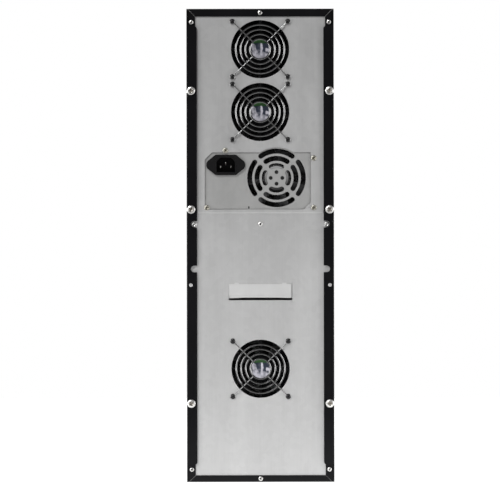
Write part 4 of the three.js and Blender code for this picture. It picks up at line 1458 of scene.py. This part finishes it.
def makeCamera():
    camera = bpy.data.cameras.new("camera")
    camera.lens = view["pixelsPerMetre"] * view["distance"] * view["sensor"] / view["frame"]
    camera.sensor_width = view["sensor"]
    camera.clip_end = 50
    holder = link("camera", camera)
    holder.location = (view["across"], flangeY + view["distance"], view["height"])
    facing = Matrix.Rotation(math.pi, 4, "Z") @ Matrix.Rotation(quarter, 4, "X")
    roll = Matrix.Rotation(math.radians(view["lean"]), 4, "Z")
    holder.rotation_euler = (facing @ roll).to_euler()
    bpy.context.scene.camera = holder


def makeLamp(name, kind, power, way):
    lamp = bpy.data.lights.new(name, kind)
    lamp.energy = power
    holder = link(name, lamp)
    holder.rotation_euler = Vector(way).to_track_quat("-Z", "Y").to_euler()
    return holder


def makeSheet(name, place, aim, size, power, glossy=True):  # a soft rectangular light
    holder = makeLamp(name, "AREA", power, Vector(aim) - Vector(place))
    holder.location = place
    holder.visible_camera = False
    holder.visible_glossy = glossy
    holder.data.shape = "RECTANGLE"
    holder.data.size, holder.data.size_y = size


studio = {
    "surround": 0.13,
    # where each sun stands, its strength and its spread in degrees
    "suns": {"rear_key": ((0.6, 0.8, 0.95), 2.0, 10), "front_key": ((-0.5, -0.8, 0.9), 1.8, 15)},
    # pairs of sheets: the left one's place, the aim, the size and the watts
    "sheets": {
        ("left_strip", "right_strip"): ((1.65, 0.85, 0.42), (0, flangeY, 0.32), (0.6, 1.5), 18),
        # below the top, which would glare
        ("front_left_strip", "front_right_strip"): ((1.1, -1.3, 0.31), (0, -flangeY, 0.32), (0.5, 0.6), 10),
        # seen only as a soft shine on the covers
        ("left_sheet", "right_sheet"): ((3.0, -0.3, 0.75), (0, 0, 0.3), (1.5, 1.5), 16),
    },
    "lowFill": ((0.05, 0.65, 0.185), (0, flangeY, 0.17), (0.4, 0.16), 0.95),
    "floor": (1.8, (0, -0.38, -0.0004)),  # its size and place
    "paper": (0.2, 0.23, 0.9),  # its darker and lighter tone, and its own light
}


def makeWorld():  # white where the camera sees it, and a dim surround for the light
    world = bpy.data.worlds.new("studio")
    world.use_nodes = True
    nodes, links = world.node_tree.nodes, world.node_tree.links
    sky, bright = nodes["Background"], nodes.new("ShaderNodeBackground")
    for ground in (sky, bright):
        ground.inputs["Color"].default_value = (1, 1, 1, 1)
    sky.inputs["Strength"].default_value = studio["surround"]
    rays, blend = nodes.new("ShaderNodeLightPath"), nodes.new("ShaderNodeMixShader")
    links.new(rays.outputs["Is Camera Ray"], blend.inputs[0])
    links.new(sky.outputs[0], blend.inputs[1])
    links.new(bright.outputs[0], blend.inputs[2])
    links.new(blend.outputs[0], nodes["World Output"].inputs[0])
    bpy.context.scene.world = world
    bpy.context.scene.view_settings.view_transform = "Standard"


def makeStudio():
    for name, (towards, strength, spread) in studio["suns"].items():
        makeLamp(name, "SUN", strength, -Vector(towards)).data.angle = math.radians(spread)
    for names, ((x, y, z), *rest) in studio["sheets"].items():
        for side, name in zip((1, -1), names):
            makeSheet(name, (side * x, y, z), *rest)
    makeSheet("low_fill", *studio["lowFill"], glossy=False)  # no glints on the lower guard
    size, place = studio["floor"]
    dark, light, shine = studio["paper"]
    floor = primitive(bpy.ops.mesh.primitive_plane_add, "floor", size=size, location=place)
    paint = Paint("floor_paper", Roughness=0.95, Emission_Strength=shine, Emission_Color=(1, 1, 1, 1))
    tooth = paint.noise(40, 3)
    floor.data.materials.append(paint.show(Base_Color=paint.mix(tooth, (dark,) * 3, (light,) * 3)))


makeCamera()
makeWorld()
makeStudio()

print("done")
